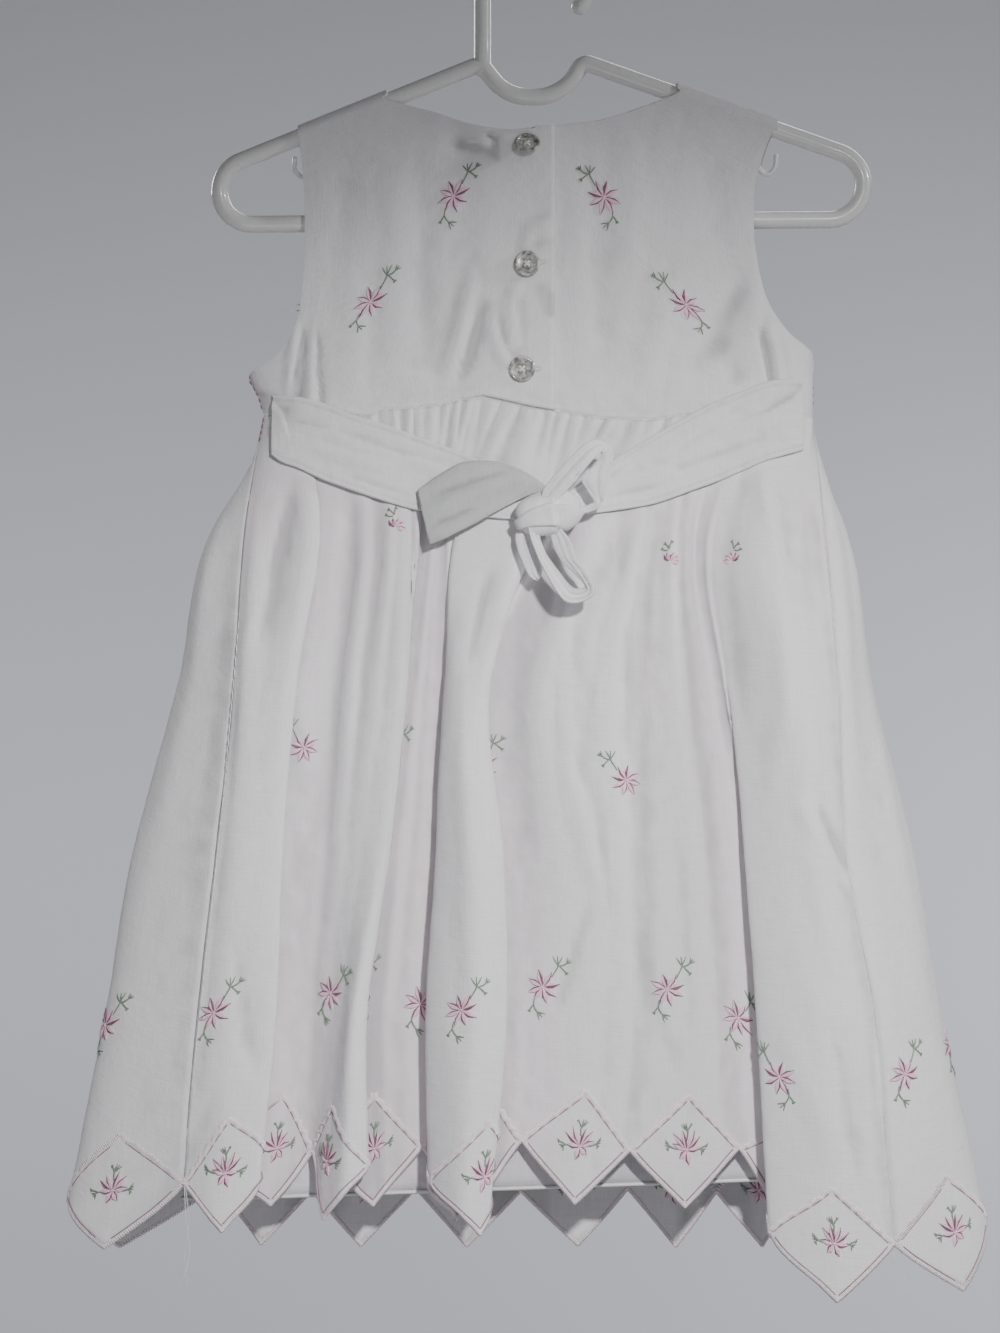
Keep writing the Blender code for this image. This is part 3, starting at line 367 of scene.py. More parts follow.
def between_rows(rows, u):
    """One smooth curve in u through the rows, each column of them at its own u."""
    i = np.clip(np.searchsorted(ring_u, u, side="right") - 1, 1, len(ring_u) - 3)
    col = np.arange(len(u))
    k0, k1, k2, k3 = ring_u[i - 1], ring_u[i], ring_u[i + 1], ring_u[i + 2]
    v0, v1, v2, v3 = rows[i - 1, col], rows[i, col], rows[i + 1, col], rows[i + 2, col]
    before, here, after = (v1 - v0) / (k1 - k0), (v2 - v1) / (k2 - k1), (v3 - v2) / (k3 - k2)
    low = (before * (k2 - k1) + here * (k1 - k0)) / (k2 - k0)
    high = (here * (k3 - k2) + after * (k2 - k1)) / (k3 - k1)
    return hermite(v1, v2, low, high, k2 - k1, (u - k1) / (k2 - k1))


def skirt_section(u, drop):
    """Across and depth of the skirt's cloth at a place u along it and a drop below the waist."""
    turn = np.mod(u, PITCHES)
    xs = between_rows(spline(LEVELS, ring_x, drop), turn)
    ys = between_rows(spline(LEVELS, ring_y, drop), turn)
    top_x, top_y = ring_at_waist(turn)
    flat = np.zeros_like(drop)
    rest = 1.0 - ease(drop / WAIST_REACH)
    xs = xs + rest * (top_x - between_rows(spline(LEVELS, ring_x, flat), turn))
    ys = ys + rest * (top_y - between_rows(spline(LEVELS, ring_y, flat), turn))
    return xs, ys


def hem_drop(u):
    """Drop of the hem's notches, without the points."""
    return between_rows(np.repeat(ring_hem[:, None], len(u), axis=1), np.mod(u, PITCHES))


def zigzag(u):
    """0 at a notch between two diamonds, 1 at a diamond's point."""
    return 1.0 - np.abs(2.0 * np.mod(u, 1.0) - 1.0)


# %% [markdown]
# ## Cloth as a grid
# Each panel is a grid of points. Keeping the grid makes the rest easy: the outward side comes from it,
# creases push its points in or out, and anything sewn on the panel asks it for a place. A thread that
# is laid by `Cloth.place` therefore follows each fold, as a real stitch would.

# %% The grid of a panel, and places on it
UV_PER_MM = 0.01
NEAR = 4.0  # millimetres within which a place on the panel is looked for
DEPTH_WEIGHT = 0.6


class Cloth:
    """A panel as a grid in millimetres: rows run down, columns run right as its outer side is seen."""

    def __init__(self, grid):
        self.grid = grid
        self.measure()

    def measure(self):
        down = np.gradient(self.grid, axis=0)
        across = np.gradient(self.grid, axis=1)
        out = np.cross(down, across)
        self.out = out / np.maximum(np.linalg.norm(out, axis=2, keepdims=True), 1e-9)
        self.down = np.linalg.norm(down, axis=2)
        self.across = np.linalg.norm(across, axis=2)

    def push(self, heights):
        """Moves each point along the outward direction by a height in millimetres."""
        self.grid = self.grid + self.out * heights[..., None]
        self.measure()

    def pull_edge(self, rows, edge, line, away, reach):
        """Moves a side edge on to a line of points, and eases the change into the cloth beside it."""
        change = line - self.grid[rows, edge]
        self.grid[rows] += change[:, None, :] * np.exp(-((away / reach) ** 2))[..., None]
        self.measure()

    def columns_from(self, edge):
        """How many columns lie between each column and a side edge."""
        count = np.arange(self.grid.shape[1])
        return count if edge == 0 else count[::-1]

    def run_down(self):
        """Millimetres along the cloth from the top edge down to each point."""
        return np.cumsum(self.down, axis=0) - self.down[:1]

    def read(self, table, row, col):
        """A table's value between grid points."""
        rows, cols = table.shape[:2]
        r = min(max(row, 0.0), rows - 1.001)
        c = min(max(col, 0.0), cols - 1.001)
        i, j = int(r), int(c)
        f, g = r - i, c - j
        top = table[i, j] * (1 - g) + table[i, j + 1] * g
        low = table[i + 1, j] * (1 - g) + table[i + 1, j + 1] * g
        return top * (1 - f) + low * f

    def find(self, x, z):
        """Row and column of the outermost cloth seen at a place in the view along the panel's face."""
        away = np.hypot(self.grid[..., 0] - x, self.grid[..., 2] - z)
        score = away + DEPTH_WEIGHT * self.grid[..., 1] * (1 if self.faces_back() else -1)
        return np.unravel_index(np.argmin(np.where(away < NEAR, score, 1e6 + away)), away.shape)

    def faces_back(self):
        return float(self.out[..., 1].mean()) < 0.0

    def place(self, row, col, across, down, lift, face=1):
        """The point that lies some millimetres across and down from a place on the cloth."""
        steps = 4
        for _ in range(steps):
            row, col = (
                row + down / steps / float(self.read(self.down, row, col)),
                col + across / steps / float(self.read(self.across, row, col)),
            )
        point = self.read(self.grid, row, col)
        out = self.read(self.out, row, col)
        return point + out * face * (lift + CLOTH / 2.0)


def grid_mesh(name, grid, finish, uv_at):
    """Open surface through a grid, with a UV map that measures the cloth in tenths of a metre."""
    rows, cols = grid.shape[:2]
    mesh = bpy.data.meshes.new(name)
    index = np.arange(rows * cols).reshape(rows, cols)
    quads = np.stack([index[:-1, :-1], index[1:, :-1], index[1:, 1:], index[:-1, 1:]], axis=-1).reshape(-1, 4)
    mesh.from_pydata((grid.reshape(-1, 3) * MM).tolist(), [], quads.tolist())
    layer = mesh.uv_layers.new(name="weave")
    flat_uv = uv_at.reshape(-1, 2)[quads.ravel()]
    layer.data.foreach_set("uv", (flat_uv * UV_PER_MM).ravel())
    mesh.materials.append(finish)
    mesh.shade_smooth()
    mesh.update()
    return mesh


def cloth_uv(cloth):
    """Millimetres along the cloth, down its columns and across its rows."""
    across = np.cumsum(cloth.across, axis=1) - cloth.across[:, :1]
    middle = across.shape[0] // 2
    across = np.repeat(across[middle : middle + 1], across.shape[0], axis=0)
    return np.stack([across, cloth.run_down()], axis=-1)


def add_piece(name, mesh):
    piece = bpy.data.objects.new(name, mesh)
    bpy.context.scene.collection.objects.link(piece)
    return piece


def blurred(points, reach):
    """A grid's points averaged over their neighbours, some steps each way."""
    for axis in (0, 1):
        pad = [(0, 0)] * points.ndim
        pad[axis] = (reach, reach)
        wide = np.pad(points, pad, mode="edge")
        count, shifts = points.shape[axis], 2 * reach + 1
        points = sum(np.take(wide, np.arange(k, k + count), axis=axis) for k in range(shifts)) / shifts
    return points


def crease_shade_amounts(cloth):
    """0 to 1 at each point: how far it lies below the cloth around it, near and wide; the cotton paints shade
    there.
    """
    depth = np.zeros(cloth.grid.shape[:2])
    for reach, gain in ((2, 1.5), (5, 0.55)):
        below = ((blurred(cloth.grid, reach) - cloth.grid) * cloth.out).sum(axis=-1)
        depth += gain * np.clip(below, -0.25, None)
    return np.clip(depth, 0.0, 1.0)


def give_wall(piece, thickness):
    """Gives an open surface its thickness, half of it to each side."""
    wall = piece.modifiers.new("Wall", "SOLIDIFY")
    wall.thickness = thickness * MM
    wall.offset = 0.0
    return piece


def baked(piece, helpers=()):
    """The plain mesh that a piece's modifiers make; the piece and its helpers are removed."""
    bpy.context.view_layer.update()
    made = bpy.data.meshes.new_from_object(piece.evaluated_get(bpy.context.evaluated_depsgraph_get()))
    for used in (piece, *helpers):
        bpy.data.objects.remove(used)
    return made


def solid_cloth(name, cloth, finish, thickness=CLOTH):
    """A panel's grid as a thin closed wall."""
    mesh = grid_mesh(name, cloth.grid, finish, cloth_uv(cloth))
    piece = add_piece(name, mesh)
    # painted shade: how deep each point lies in a crease, which darkens the cotton there
    mesh.attributes.new("groove", "FLOAT", "POINT").data.foreach_set("value", crease_shade_amounts(cloth).ravel())
    return give_wall(piece, thickness)


# %% [markdown]
# ## Creases
# Pressed and worn cotton has three kinds of relief: long soft folds that come from how it hangs, sharp
# crease lines where it was folded or pulled, and a fine crumple all over. The first is in the tables
# above. The second is given as short segments with a width and a height. The third is a
# gentle noise, longer down the cloth than across it.

# %% Relief helpers
NOISE_SOFTNESS = 0.8
NOISE_STEP = 2.1
NOISE_LAYERS = 3


def crumple(points, size, stretch, seed):
    """Soft uneven relief between -1 and 1 at every point of a grid, longer down than across."""
    shape = points.shape[:2]
    flat = points.reshape(-1, 3)
    scale = Vector((1.0 / size, 1.0 / size, 1.0 / (size * stretch)))
    offset = Vector((seed * 7.3, seed * 3.1, seed * 5.7))
    values = []
    for x, y, z in flat:
        spot = Vector((x * scale.x, y * scale.y, z * scale.z)) + offset
        values.append(noise.fractal(spot, NOISE_SOFTNESS, NOISE_STEP, NOISE_LAYERS))
    return np.array(values).reshape(shape)


def crumple_cloth(cloth, relief, seed, calm=1.0):
    """Pushes crumple into a panel. Rows: its height, its size, and how much longer it is down the cloth."""
    for k, (height, size, stretch) in enumerate(relief):
        cloth.push(height * crumple(cloth.grid, size, stretch, seed + k) * calm)


def push_creases(cloth, table, strength=1.0):
    """Presses listed creases into a panel. Rows: x0, z0, x1, z1 of the crease, its width and height."""
    heights = np.zeros(cloth.grid.shape[:2])
    for x0, z0, x1, z1, width, height in table:
        start, end = cloth.grid[cloth.find(x0, z0)], cloth.grid[cloth.find(x1, z1)]
        along = end - start
        length = float(np.linalg.norm(along))
        run = np.clip(((cloth.grid - start) @ along) / length**2, -0.25, 1.25)
        away = np.linalg.norm(cloth.grid - start - run[..., None] * along, axis=2)
        fade = ease((run + 0.25) / 0.5) * ease((1.25 - run) / 0.5)
        heights += strength * height * np.exp(-((away / width) ** 2)) * fade
    cloth.push(heights)


# %% [markdown]
# ## Cotton, thread, plastic and pearl
# Plain-weave cotton is not flat white: each yarn is a little thicker or thinner along its length, so
# fine streaks run down and across the cloth. Two stretched noises on the cloth's own UV map make the
# two yarn directions, and one on object coordinates makes the soft crumple. The embroidery is rayon
# thread, smoother and shinier than the cotton.

# %% Node helpers
def node(tree, kind, settings=None, **inputs):
    """A node with its settings, and its inputs either set or linked; underscores stand for spaces."""
    made = tree.nodes.new(kind)
    for key, value in (settings or {}).items():
        setattr(made, key, value)
    for key, value in inputs.items():
        socket = made.inputs[int(key[1:])] if key[1:].isdigit() else made.inputs[key.replace("_", " ")]
        if isinstance(value, bpy.types.NodeSocket):
            tree.links.new(value, socket)
        else:
            socket.default_value = value
    return made


def noise_at(tree, place, scale, detail, **more):
    """Noise over a place, as a number."""
    return node(tree, "ShaderNodeTexNoise", Vector=place, Scale=scale, Detail=detail, **more).outputs["Fac"]


def ranged(tree, value, low, high, to_low=0.0, to_high=1.0):
    """A number moved from one range to another."""
    ends = {"From_Min": low, "From_Max": high, "To_Min": to_low, "To_Max": to_high}
    return node(tree, "ShaderNodeMapRange", Value=value, **ends).outputs["Result"]


def opaque(color):
    return (*color, 1.0)


def blended(tree, amount, first, second):
    """A colour between two, each of them set or linked."""
    return node(tree, "ShaderNodeMix", {"data_type": "RGBA"}, Factor=amount, _6=first, _7=second).outputs[2]


def raised(tree, surface, *layers):
    """Bumps a surface with layers that lie on each other: strength, distance and height of each."""
    under = {}
    for strength, distance, height in layers:
        bump = node(tree, "ShaderNodeBump", Strength=strength, Distance=distance, Height=height, **under)
        under = {"Normal": bump.outputs["Normal"]}
    tree.links.new(under["Normal"], surface.inputs["Normal"])


def finish_base(name, color, roughness, sheen=0.0, coat=0.0):
    made = bpy.data.materials.new(name)
    made.use_nodes = True
    surface = made.node_tree.nodes["Principled BSDF"]
    surface.inputs["Base Color"].default_value = opaque(color)
    surface.inputs["Roughness"].default_value = roughness
    surface.inputs["Sheen Weight"].default_value = sheen
    surface.inputs["Coat Weight"].default_value = coat
    made.diffuse_color = opaque(color)
    return made, made.node_tree, surface


# %% Cotton
YARN = 0.55  # millimetres between yarns as they read on the cloth
SLUB = 14.0  # millimetres along a yarn before it turns thicker or thinner
# how dark the painted shade in the creases gets, as a share of each cotton's dark yarn colour
GROOVE_SHADE = 0.4


def cotton(name, light, dark, pink_patches_and_hollow_shade):
    """White plain weave: yarn streaks both ways, soft crumple and random faint pink patches, with painted
    shade: pinker and darker in the hollows behind the folds, and darker in the creases.
    """
    made, tree, surface = finish_base(name, light, 0.88, sheen=0.12)
    uv = node(tree, "ShaderNodeUVMap", {"uv_map": "weave"}).outputs["UV"]
    fine = 1.0 / (YARN * UV_PER_MM)
    long = 1.0 / (SLUB * UV_PER_MM)
    streaks = []
    for scale in ((fine, long, 1.0), (long, fine, 1.0)):
        laid = node(tree, "ShaderNodeMapping", Vector=uv, Scale=scale).outputs["Vector"]
        streaks.append(noise_at(tree, laid, 1.0, 2.0))
    weave = node(tree, "ShaderNodeMath", {"operation": "ADD"}, _0=streaks[0], _1=streaks[1]).outputs[0]
    place = node(tree, "ShaderNodeTexCoord").outputs["Object"]
    shade = blended(tree, ranged(tree, weave, 0.7, 1.3), opaque(dark), opaque(light))
    # painted shade: cloth that lies deep behind the folds turns pinker and darker; the noise patches below
    # are random tone
    hollow = node(tree, "ShaderNodeAttribute", {"attribute_name": "hollow"}).outputs["Fac"]
    patch = ranged(tree, noise_at(tree, place, 26.0, 3.0), 0.35, 0.65, 0.0, 0.25)
    amount = node(tree, "ShaderNodeMath", {"operation": "ADD", "use_clamp": True}, _0=hollow, _1=patch)
    tint = blended(tree, amount.outputs[0], shade, opaque(pink_patches_and_hollow_shade))
    # painted shade: the cotton turns darker where it lies deep in a crease
    groove = node(tree, "ShaderNodeAttribute", {"attribute_name": "groove"}).outputs["Fac"]
    crease_shade_amount = node(tree, "ShaderNodeMath", {"operation": "MULTIPLY", "use_clamp": True}, _0=groove, _1=0.5)
    shaded = blended(tree, crease_shade_amount.outputs[0], tint, opaque(GROOVE_SHADE * c for c in dark))
    tree.links.new(shaded, surface.inputs["Base Color"])
    rumple = noise_at(tree, place, 130.0, 5.0, Roughness=0.62)
    raised(tree, surface, (0.5, 0.0011, rumple), (0.55, 0.00022, weave))
    return made


# each cotton's third colour serves both its random pink patches and the painted shade of its hollows
white_cotton = cotton("white cotton", (0.80, 0.795, 0.81), (0.70, 0.695, 0.715), (0.77, 0.70, 0.735))
lining_cotton = cotton("lining cotton", (0.76, 0.745, 0.77), (0.67, 0.65, 0.685), (0.69, 0.64, 0.68))
print("cotton finishes:", white_cotton.name, lining_cotton.name)


# %% Threads
def thread(name, color, dark):
    """Twisted rayon embroidery thread, a little lighter and darker from stitch to stitch."""
    made, tree, surface = finish_base(name, color, 0.42, sheen=0.25)
    place = node(tree, "ShaderNodeTexCoord").outputs["Object"]
    twist = noise_at(tree, place, 900.0, 2.0)
    tree.links.new(blended(tree, twist, opaque(dark), opaque(color)), surface.inputs["Base Color"])
    raised(tree, surface, (0.4, 0.0001, twist))
    return made


pink_thread = thread("pink thread", (0.90, 0.64, 0.75), (0.76, 0.44, 0.56))
# painted shade: the dark thread down one side of each petal stands for the shade beside its raised stitches
petal_shade_thread = thread("petal shade thread", (0.26, 0.10, 0.17), (0.15, 0.05, 0.09))
green_thread = thread("green thread", (0.25, 0.33, 0.25), (0.14, 0.19, 0.14))
edge_thread = thread("pale edge thread", (0.90, 0.84, 0.87), (0.74, 0.64, 0.68))
# painted shadow: the dark thread of the thin line just inside each diamond's cord
shadow_thread = thread("rose edge thread", (0.36, 0.22, 0.28), (0.24, 0.13, 0.18))
white_thread = thread("white thread", (0.82, 0.82, 0.82), (0.66, 0.66, 0.66))
maroon_thread = thread("maroon thread", (0.30, 0.05, 0.11), (0.16, 0.02, 0.05))


# %% Plastic and pearl
PEARL_DARK = (0.15, 0.145, 0.135)
PEARL_LIGHT = (0.58, 0.58, 0.56)


def moulded_plastic():
    """White glossy plastic with the faint orange peel and specks of a cheap moulding."""
    made, tree, surface = finish_base("white plastic", (0.80, 0.80, 0.79), 0.24, coat=0.3)
    place = node(tree, "ShaderNodeTexCoord").outputs["Object"]
    scuff = noise_at(tree, place, 55.0, 6.0, Roughness=0.7)
    tree.links.new(ranged(tree, scuff, 0.4, 0.7, 0.2, 0.38), surface.inputs["Roughness"])
    raised(tree, surface, (0.15, 0.0003, noise_at(tree, place, 260.0, 2.0)))
    return made


def pearl_plastic():
    """Grey-white pearly button plastic with soft cloudy bands."""
    made, tree, surface = finish_base("pearl plastic", (0.62, 0.62, 0.61), 0.18, coat=0.6)
    place = node(tree, "ShaderNodeTexCoord").outputs["Object"]
    cloud = noise_at(tree, place, 240.0, 3.0, Distortion=1.4)
    banded = blended(tree, ranged(tree, cloud, 0.35, 0.65), opaque(PEARL_DARK), opaque(PEARL_LIGHT))
    tree.links.new(banded, surface.inputs["Base Color"])
    return made


white_plastic = moulded_plastic()
pearl = pearl_plastic()

# %% [markdown]
# ## Making the skirt
# The panel's columns follow the cut: whole numbers of `u` are the notches between diamonds and halves
# are their points, so the zigzag edge is exact at any fineness. Near the hem the rows lean into the
# zigzag little by little. At the waist a few dozen small pleats of different widths and lengths fade
# out downwards, as gathering threads leave them.

# %% Skirt panels
SKIRT_BACK_STEPS = 22
SKIRT_FRONT_STEPS = 14
SKIRT_BACK_ROWS = 152
SKIRT_FRONT_ROWS = 110
HEM_FROM = 0.86
# ranges of the small pleats: the step to the next, width, height, length down, and drift sideways
GATHER_STEP = (2.6, 9.0)
GATHER_WIDTH = (1.2, 2.7)
GATHER_HEIGHT = (0.7, 2.6)
GATHER_LENGTH = (9.0, 62.0)
GATHER_DRIFT = (-0.14, 0.14)
GATHER_REST = 0.35  # the cloth between pleats lies this much lower
# the same for the soft ripples lower down, which turn outwards and inwards by turns
RIPPLE_STEP = (4.2, 9.6)
RIPPLE_WIDTH = (2.2, 4.0)
RIPPLE_OUT = (1.2, 2.8)
RIPPLE_IN = (-1.4, -0.7)
RIPPLE_LENGTH = (130.0, 330.0)
RIPPLE_DRIFT = (-0.02, 0.02)
SKIRT_RELIEF = ((0.42, 21.0, 2.6), (0.14, 6.5, 1.6))
# x, rise: how the back waist seam is pulled up and down by the gathers
WAIST_WAVE = (
    (-140.0, 0.0),
    (-92.0, 0.5),
    (-79.0, -1.2),
    (-71.0, 2.3),
    (-57.0, 2.8),
    (-44.0, 4.2),
    (-35.0, 6.6),
    (-24.0, 8.4),
    (-14.0, 6.2),
    (-3.0, 3.6),
    (9.0, 1.6),
    (28.0, -1.8),
    (51.0, -3.0),
    (66.0, -0.8),
    (95.0, 0.0),
    (140.0, 0.0),
)
WAVE_REACH = 34.0


def wave_waist(cloth):
    """Moves the cloth near the back waist seam up or down with the seam's wave."""
    wave = np.array(WAIST_WAVE).T
    rise = np.interp(cloth.grid[..., 0], wave[0], wave[1])
    near = 1.0 - ease(np.abs(cloth.grid[..., 2] - WAIST_Z) / WAVE_REACH)
    cloth.grid[..., 2] += rise * near * (cloth.grid[..., 1] < -4.0)
    cloth.measure()


def skirt_cloth(u_from, u_to, steps, rows):
    """Fine grid of a skirt panel with its cut hem, and the place u of each column."""
    shift = SEAM_SLIT / WAIST_PITCH
    u = np.linspace(u_from, u_to, int(round((u_to - u_from) * steps)) + 1)
    place = u.copy()
    place[0] += shift
    place[-1] -= shift
    notch = hem_drop(u)
    point = DIAMOND_DROP * zigzag(u)
    grid = np.zeros((rows, len(u), 3))
    for k, share in enumerate(np.linspace(0.0, 1.0, rows)):
        lean = max(0.0, (share - HEM_FROM) / (1.0 - HEM_FROM))
        drop = WAIST_END + (notch - WAIST_END) * share + point * lean
        x, y = skirt_section(place, drop)
        grid[k] = np.stack([x, y, WAIST_Z - drop], axis=1)
    return Cloth(grid), u


def gathers(u, drops, seed):
    """Heights of the small pleats under the waist seam."""
    random = np.random.default_rng(seed)
    along = u * WAIST_PITCH
    heights = np.zeros_like(drops)
    at = along[0]
    while at < along[-1]:
        at += random.uniform(*GATHER_STEP)
        width = random.uniform(*GATHER_WIDTH)
        height = random.uniform(*GATHER_HEIGHT)
        length = random.uniform(*GATHER_LENGTH)
        drift = random.uniform(*GATHER_DRIFT)
        spread = width * (1.0 + drops / 30.0)
        pleat = np.exp(-(((along + drift * drops - at) / spread) ** 2))
        heights += height * pleat * np.exp(-((drops / length) ** 1.5))
    return (heights - GATHER_REST) * ease(drops / 2.5) * np.exp(-drops / 70.0)


def ripples(cloth, u, drops, seed):
    """Heights of the soft upright ripples that the gathers leave lower down, on the cloth that faces out."""
    random = np.random.default_rng(seed)
    along = u * WAIST_PITCH
    heights = np.zeros_like(drops)
    at, side = along[0] + 4.0, 1.0
    while at < along[-1] - 3.0:
        width = random.uniform(*RIPPLE_WIDTH)
        drift = random.uniform(*RIPPLE_DRIFT)
        reach = random.uniform(*RIPPLE_LENGTH)
        height = random.uniform(*(RIPPLE_OUT if side > 0 else RIPPLE_IN))
        ripple = np.exp(-(((along + drift * drops - at) / width) ** 2))
        heights += height * ripple * np.exp(-((drops / reach) ** 3))
        at += random.uniform(*RIPPLE_STEP)
        side = -side
    toward = cloth.out[..., 1]
    faces_out = np.clip((np.abs(toward) - 0.35) / 0.4, 0.0, 1.0) * (toward * cloth.grid[..., 1] > 0)
    return heights * faces_out * ease((drops - 16.0) / 60.0)


back, back_u = skirt_cloth(SIDE_LEFT_U, SIDE_RIGHT_U, SKIRT_BACK_STEPS, SKIRT_BACK_ROWS)
front, front_u = skirt_cloth(SIDE_RIGHT_U, SIDE_LEFT_U + PITCHES, SKIRT_FRONT_STEPS, SKIRT_FRONT_ROWS)
for panel, panel_u, seed in ((back, back_u, 4), (front, front_u, 9)):
    drops = WAIST_Z - panel.grid[..., 2]
    panel.push(gathers(panel_u, drops, seed))
    panel.push(ripples(panel, panel_u, drops, seed + 2))
    crumple_cloth(panel, SKIRT_RELIEF[:1], seed, ease(drops / 30.0))
    crumple_cloth(panel, SKIRT_RELIEF[1:], seed + 1)
print("skirt grids:", back.grid.shape, front.grid.shape)

# %% Creases of the skirt's back
# x0, z0, x1, z1, width, height: troughs are negative
SKIRT_CREASES = (
    (-133.0, -262.0, -137.0, -330.0, 1.6, 0.6),
    (-137.0, -330.0, -143.0, -405.0, 1.7, 0.6),
    (-143.0, -405.0, -152.0, -480.0, 1.8, 0.6),
    (-152.0, -480.0, -160.0, -560.0, 1.9, 0.6),
    (-112.0, -262.0, -128.0, -330.0, 5.0, -1.6),
    (-122.0, -300.0, -141.0, -350.0, 5.0, 1.2),
    (-150.0, -330.0, -158.0, -390.0, 6.0, -1.0),
    (-168.0, -400.0, -160.0, -470.0, 7.0, 0.9),
    (-138.0, -470.0, -127.0, -530.0, 6.0, -0.9),
    (-150.0, -520.0, -170.0, -560.0, 5.0, 0.8),
    (12.0, -300.0, 15.0, -400.0, 3.5, 0.9),
    (15.0, -390.0, 28.0, -445.0, 4.0, 0.9),
    (24.0, -450.0, 10.0, -500.0, 5.0, -0.7),
    (40.0, -280.0, 42.0, -350.0, 4.0, -0.6),
    (104.0, -252.0, 113.0, -300.0, 3.5, 1.3),
    (113.0, -300.0, 115.0, -360.0, 3.5, 1.2),
    (115.0, -360.0, 108.0, -400.0, 4.0, 1.0),
    (120.0, -405.0, 144.0, -445.0, 3.0, 1.1),
    (128.0, -400.0, 150.0, -440.0, 4.0, -1.1),
    (118.0, -430.0, 130.0, -480.0, 6.0, -0.8),
    (131.5, -262.0, 138.0, -340.0, 1.6, 0.6),
    (138.0, -340.0, 142.0, -430.0, 1.7, 0.6),
    (142.0, -430.0, 156.0, -500.0, 1.8, 0.6),
    (156.0, -500.0, 161.0, -590.0, 1.9, 0.6),
    (110.0, -500.0, 132.0, -560.0, 6.0, 0.8),
    (135.0, -505.0, 146.0, -570.0, 5.0, -0.8),
    (-20.0, -300.0, -33.0, -345.0, 4.5, -1.4),
    (-12.0, -318.0, -26.0, -352.0, 3.0, 1.0),
    (-33.0, -380.0, -30.0, -440.0, 4.0, 0.8),
    (-38.0, -450.0, -33.0, -520.0, 4.5, -0.7),
    (58.0, -300.0, 66.0, -420.0, 6.0, 0.7),
    (48.0, -470.0, 62.0, -520.0, 6.0, -0.5),
    (-92.0, -300.0, -100.0, -390.0, 5.0, 0.6),
    (-88.0, -380.0, -96.0, -470.0, 5.0, -0.6),
    (-60.0, -290.0, -62.0, -360.0, 4.0, 0.7),
)
# the rows of the table that run down the two side seams
SIDE_SEAMS = SKIRT_CREASES[:4], SKIRT_CREASES[20:24]
CREASE_STRENGTH = 1.3
push_creases(back, SKIRT_CREASES, CREASE_STRENGTH)
# the same kind of soft troughs and ridges on the hidden front
FRONT_CREASES = (
    (-120.0, -270.0, -135.0, -380.0, 5.0, 1.1),
    (-70.0, -265.0, -84.0, -400.0, 5.5, -1.0),
    (-30.0, -280.0, -26.0, -420.0, 5.0, 0.9),
    (12.0, -265.0, 22.0, -370.0, 4.5, -1.0),
    (48.0, -300.0, 60.0, -450.0, 6.0, 0.9),
    (92.0, -270.0, 112.0, -400.0, 5.0, -1.1),
    (120.0, -380.0, 146.0, -470.0, 6.0, 1.0),
    (-150.0, -420.0, -160.0, -540.0, 6.0, 1.0),
    (-60.0, -450.0, -74.0, -560.0, 7.0, -0.9),
    (30.0, -470.0, 44.0, -570.0, 6.5, 0.9),
)
push_creases(front, FRONT_CREASES)
wave_waist(back)


SIDE_SAMPLES = 600
SIDE_EASE = 6.0  # columns over which the change of a side edge fades


def row_shares(cloth):
    """How far down the panel each row lies, from 0 at its top to 1 at its hem."""
    return np.linspace(0.0, 1.0, cloth.grid.shape[0])


def column_at(cloth, edge, share):
    """Points of a panel's side edge at shares of the way from its top to its hem."""
    return points_between(share, row_shares(cloth), cloth.grid[:, edge])


def close_side(sides):
    """Brings the side edges of two panels together."""
    fine = np.linspace(0.0, 1.0, SIDE_SAMPLES)
    middle = sum(column_at(cloth, edge, fine) for cloth, edge in sides) / 2.0
    for cloth, edge in sides:
        line = points_between(row_shares(cloth), fine, middle)
        cloth.pull_edge(slice(None), edge, line, cloth.columns_from(edge), SIDE_EASE)
    apart = np.linalg.norm(column_at(*sides[0], fine) - column_at(*sides[1], fine), axis=1).max()
    assert apart < 0.1, f"a side seam of the skirt is {apart:.2f} mm open"


close_side(((back, 0), (front, -1)))
close_side(((back, -1), (front, 0)))


# painted shade: how deep the back of the skirt lies behind its folds sets how much pinker and darker it is
# painted
HOLLOW_FROM = -21.0
HOLLOW_SPAN = 8.0
HOLLOW_SHADE_TINT = 0.6


def paint_hollow_shade(piece, cloth):
    """A number at each point of a piece: how deep it lies behind the folds beside it, which the cotton paints
    as pinker, darker shade.
    """
    depth = cloth.grid[..., 1] * (1 if cloth.faces_back() else -1)
    below = ease((WAIST_Z - cloth.grid[..., 2] - 8.0) / 40.0)
    deep = np.clip((depth - HOLLOW_FROM) / HOLLOW_SPAN, 0.0, 1.0) * below
    layer = piece.data.attributes.new("hollow", "FLOAT", "POINT")
    layer.data.foreach_set("value", deep.ravel() * HOLLOW_SHADE_TINT)


skirt_back = solid_cloth("skirt_back_cloth", back, white_cotton)
skirt_front = solid_cloth("skirt_front_cloth", front, white_cotton)
paint_hollow_shade(skirt_back, back)

# %% [markdown]
# ## Making the lining
# The lining is a plain tube that widens to its hem. It shows only below the back hem, as a greyer
# layer with a white turned hem, so the hem gets its own rounded edge: a double fold of cloth with a
# row of stitches.

# %% Lining
LINING_SECTIONS = (
    (0.6, 122.5, 9.8, 9.8),
    (40.0, 125.0, 10.0, 10.5),
    (125.0, 138.0, 9.0, 9.0),
    (230.0, 152.0, 8.0, 9.5),
    (358.0, 164.0, 7.5, 10.0),
)
LINING_HEM_SLOPE = -0.035
LINING_COLUMNS = 110
LINING_ROWS = 70
LINING_CLOTH = 0.8


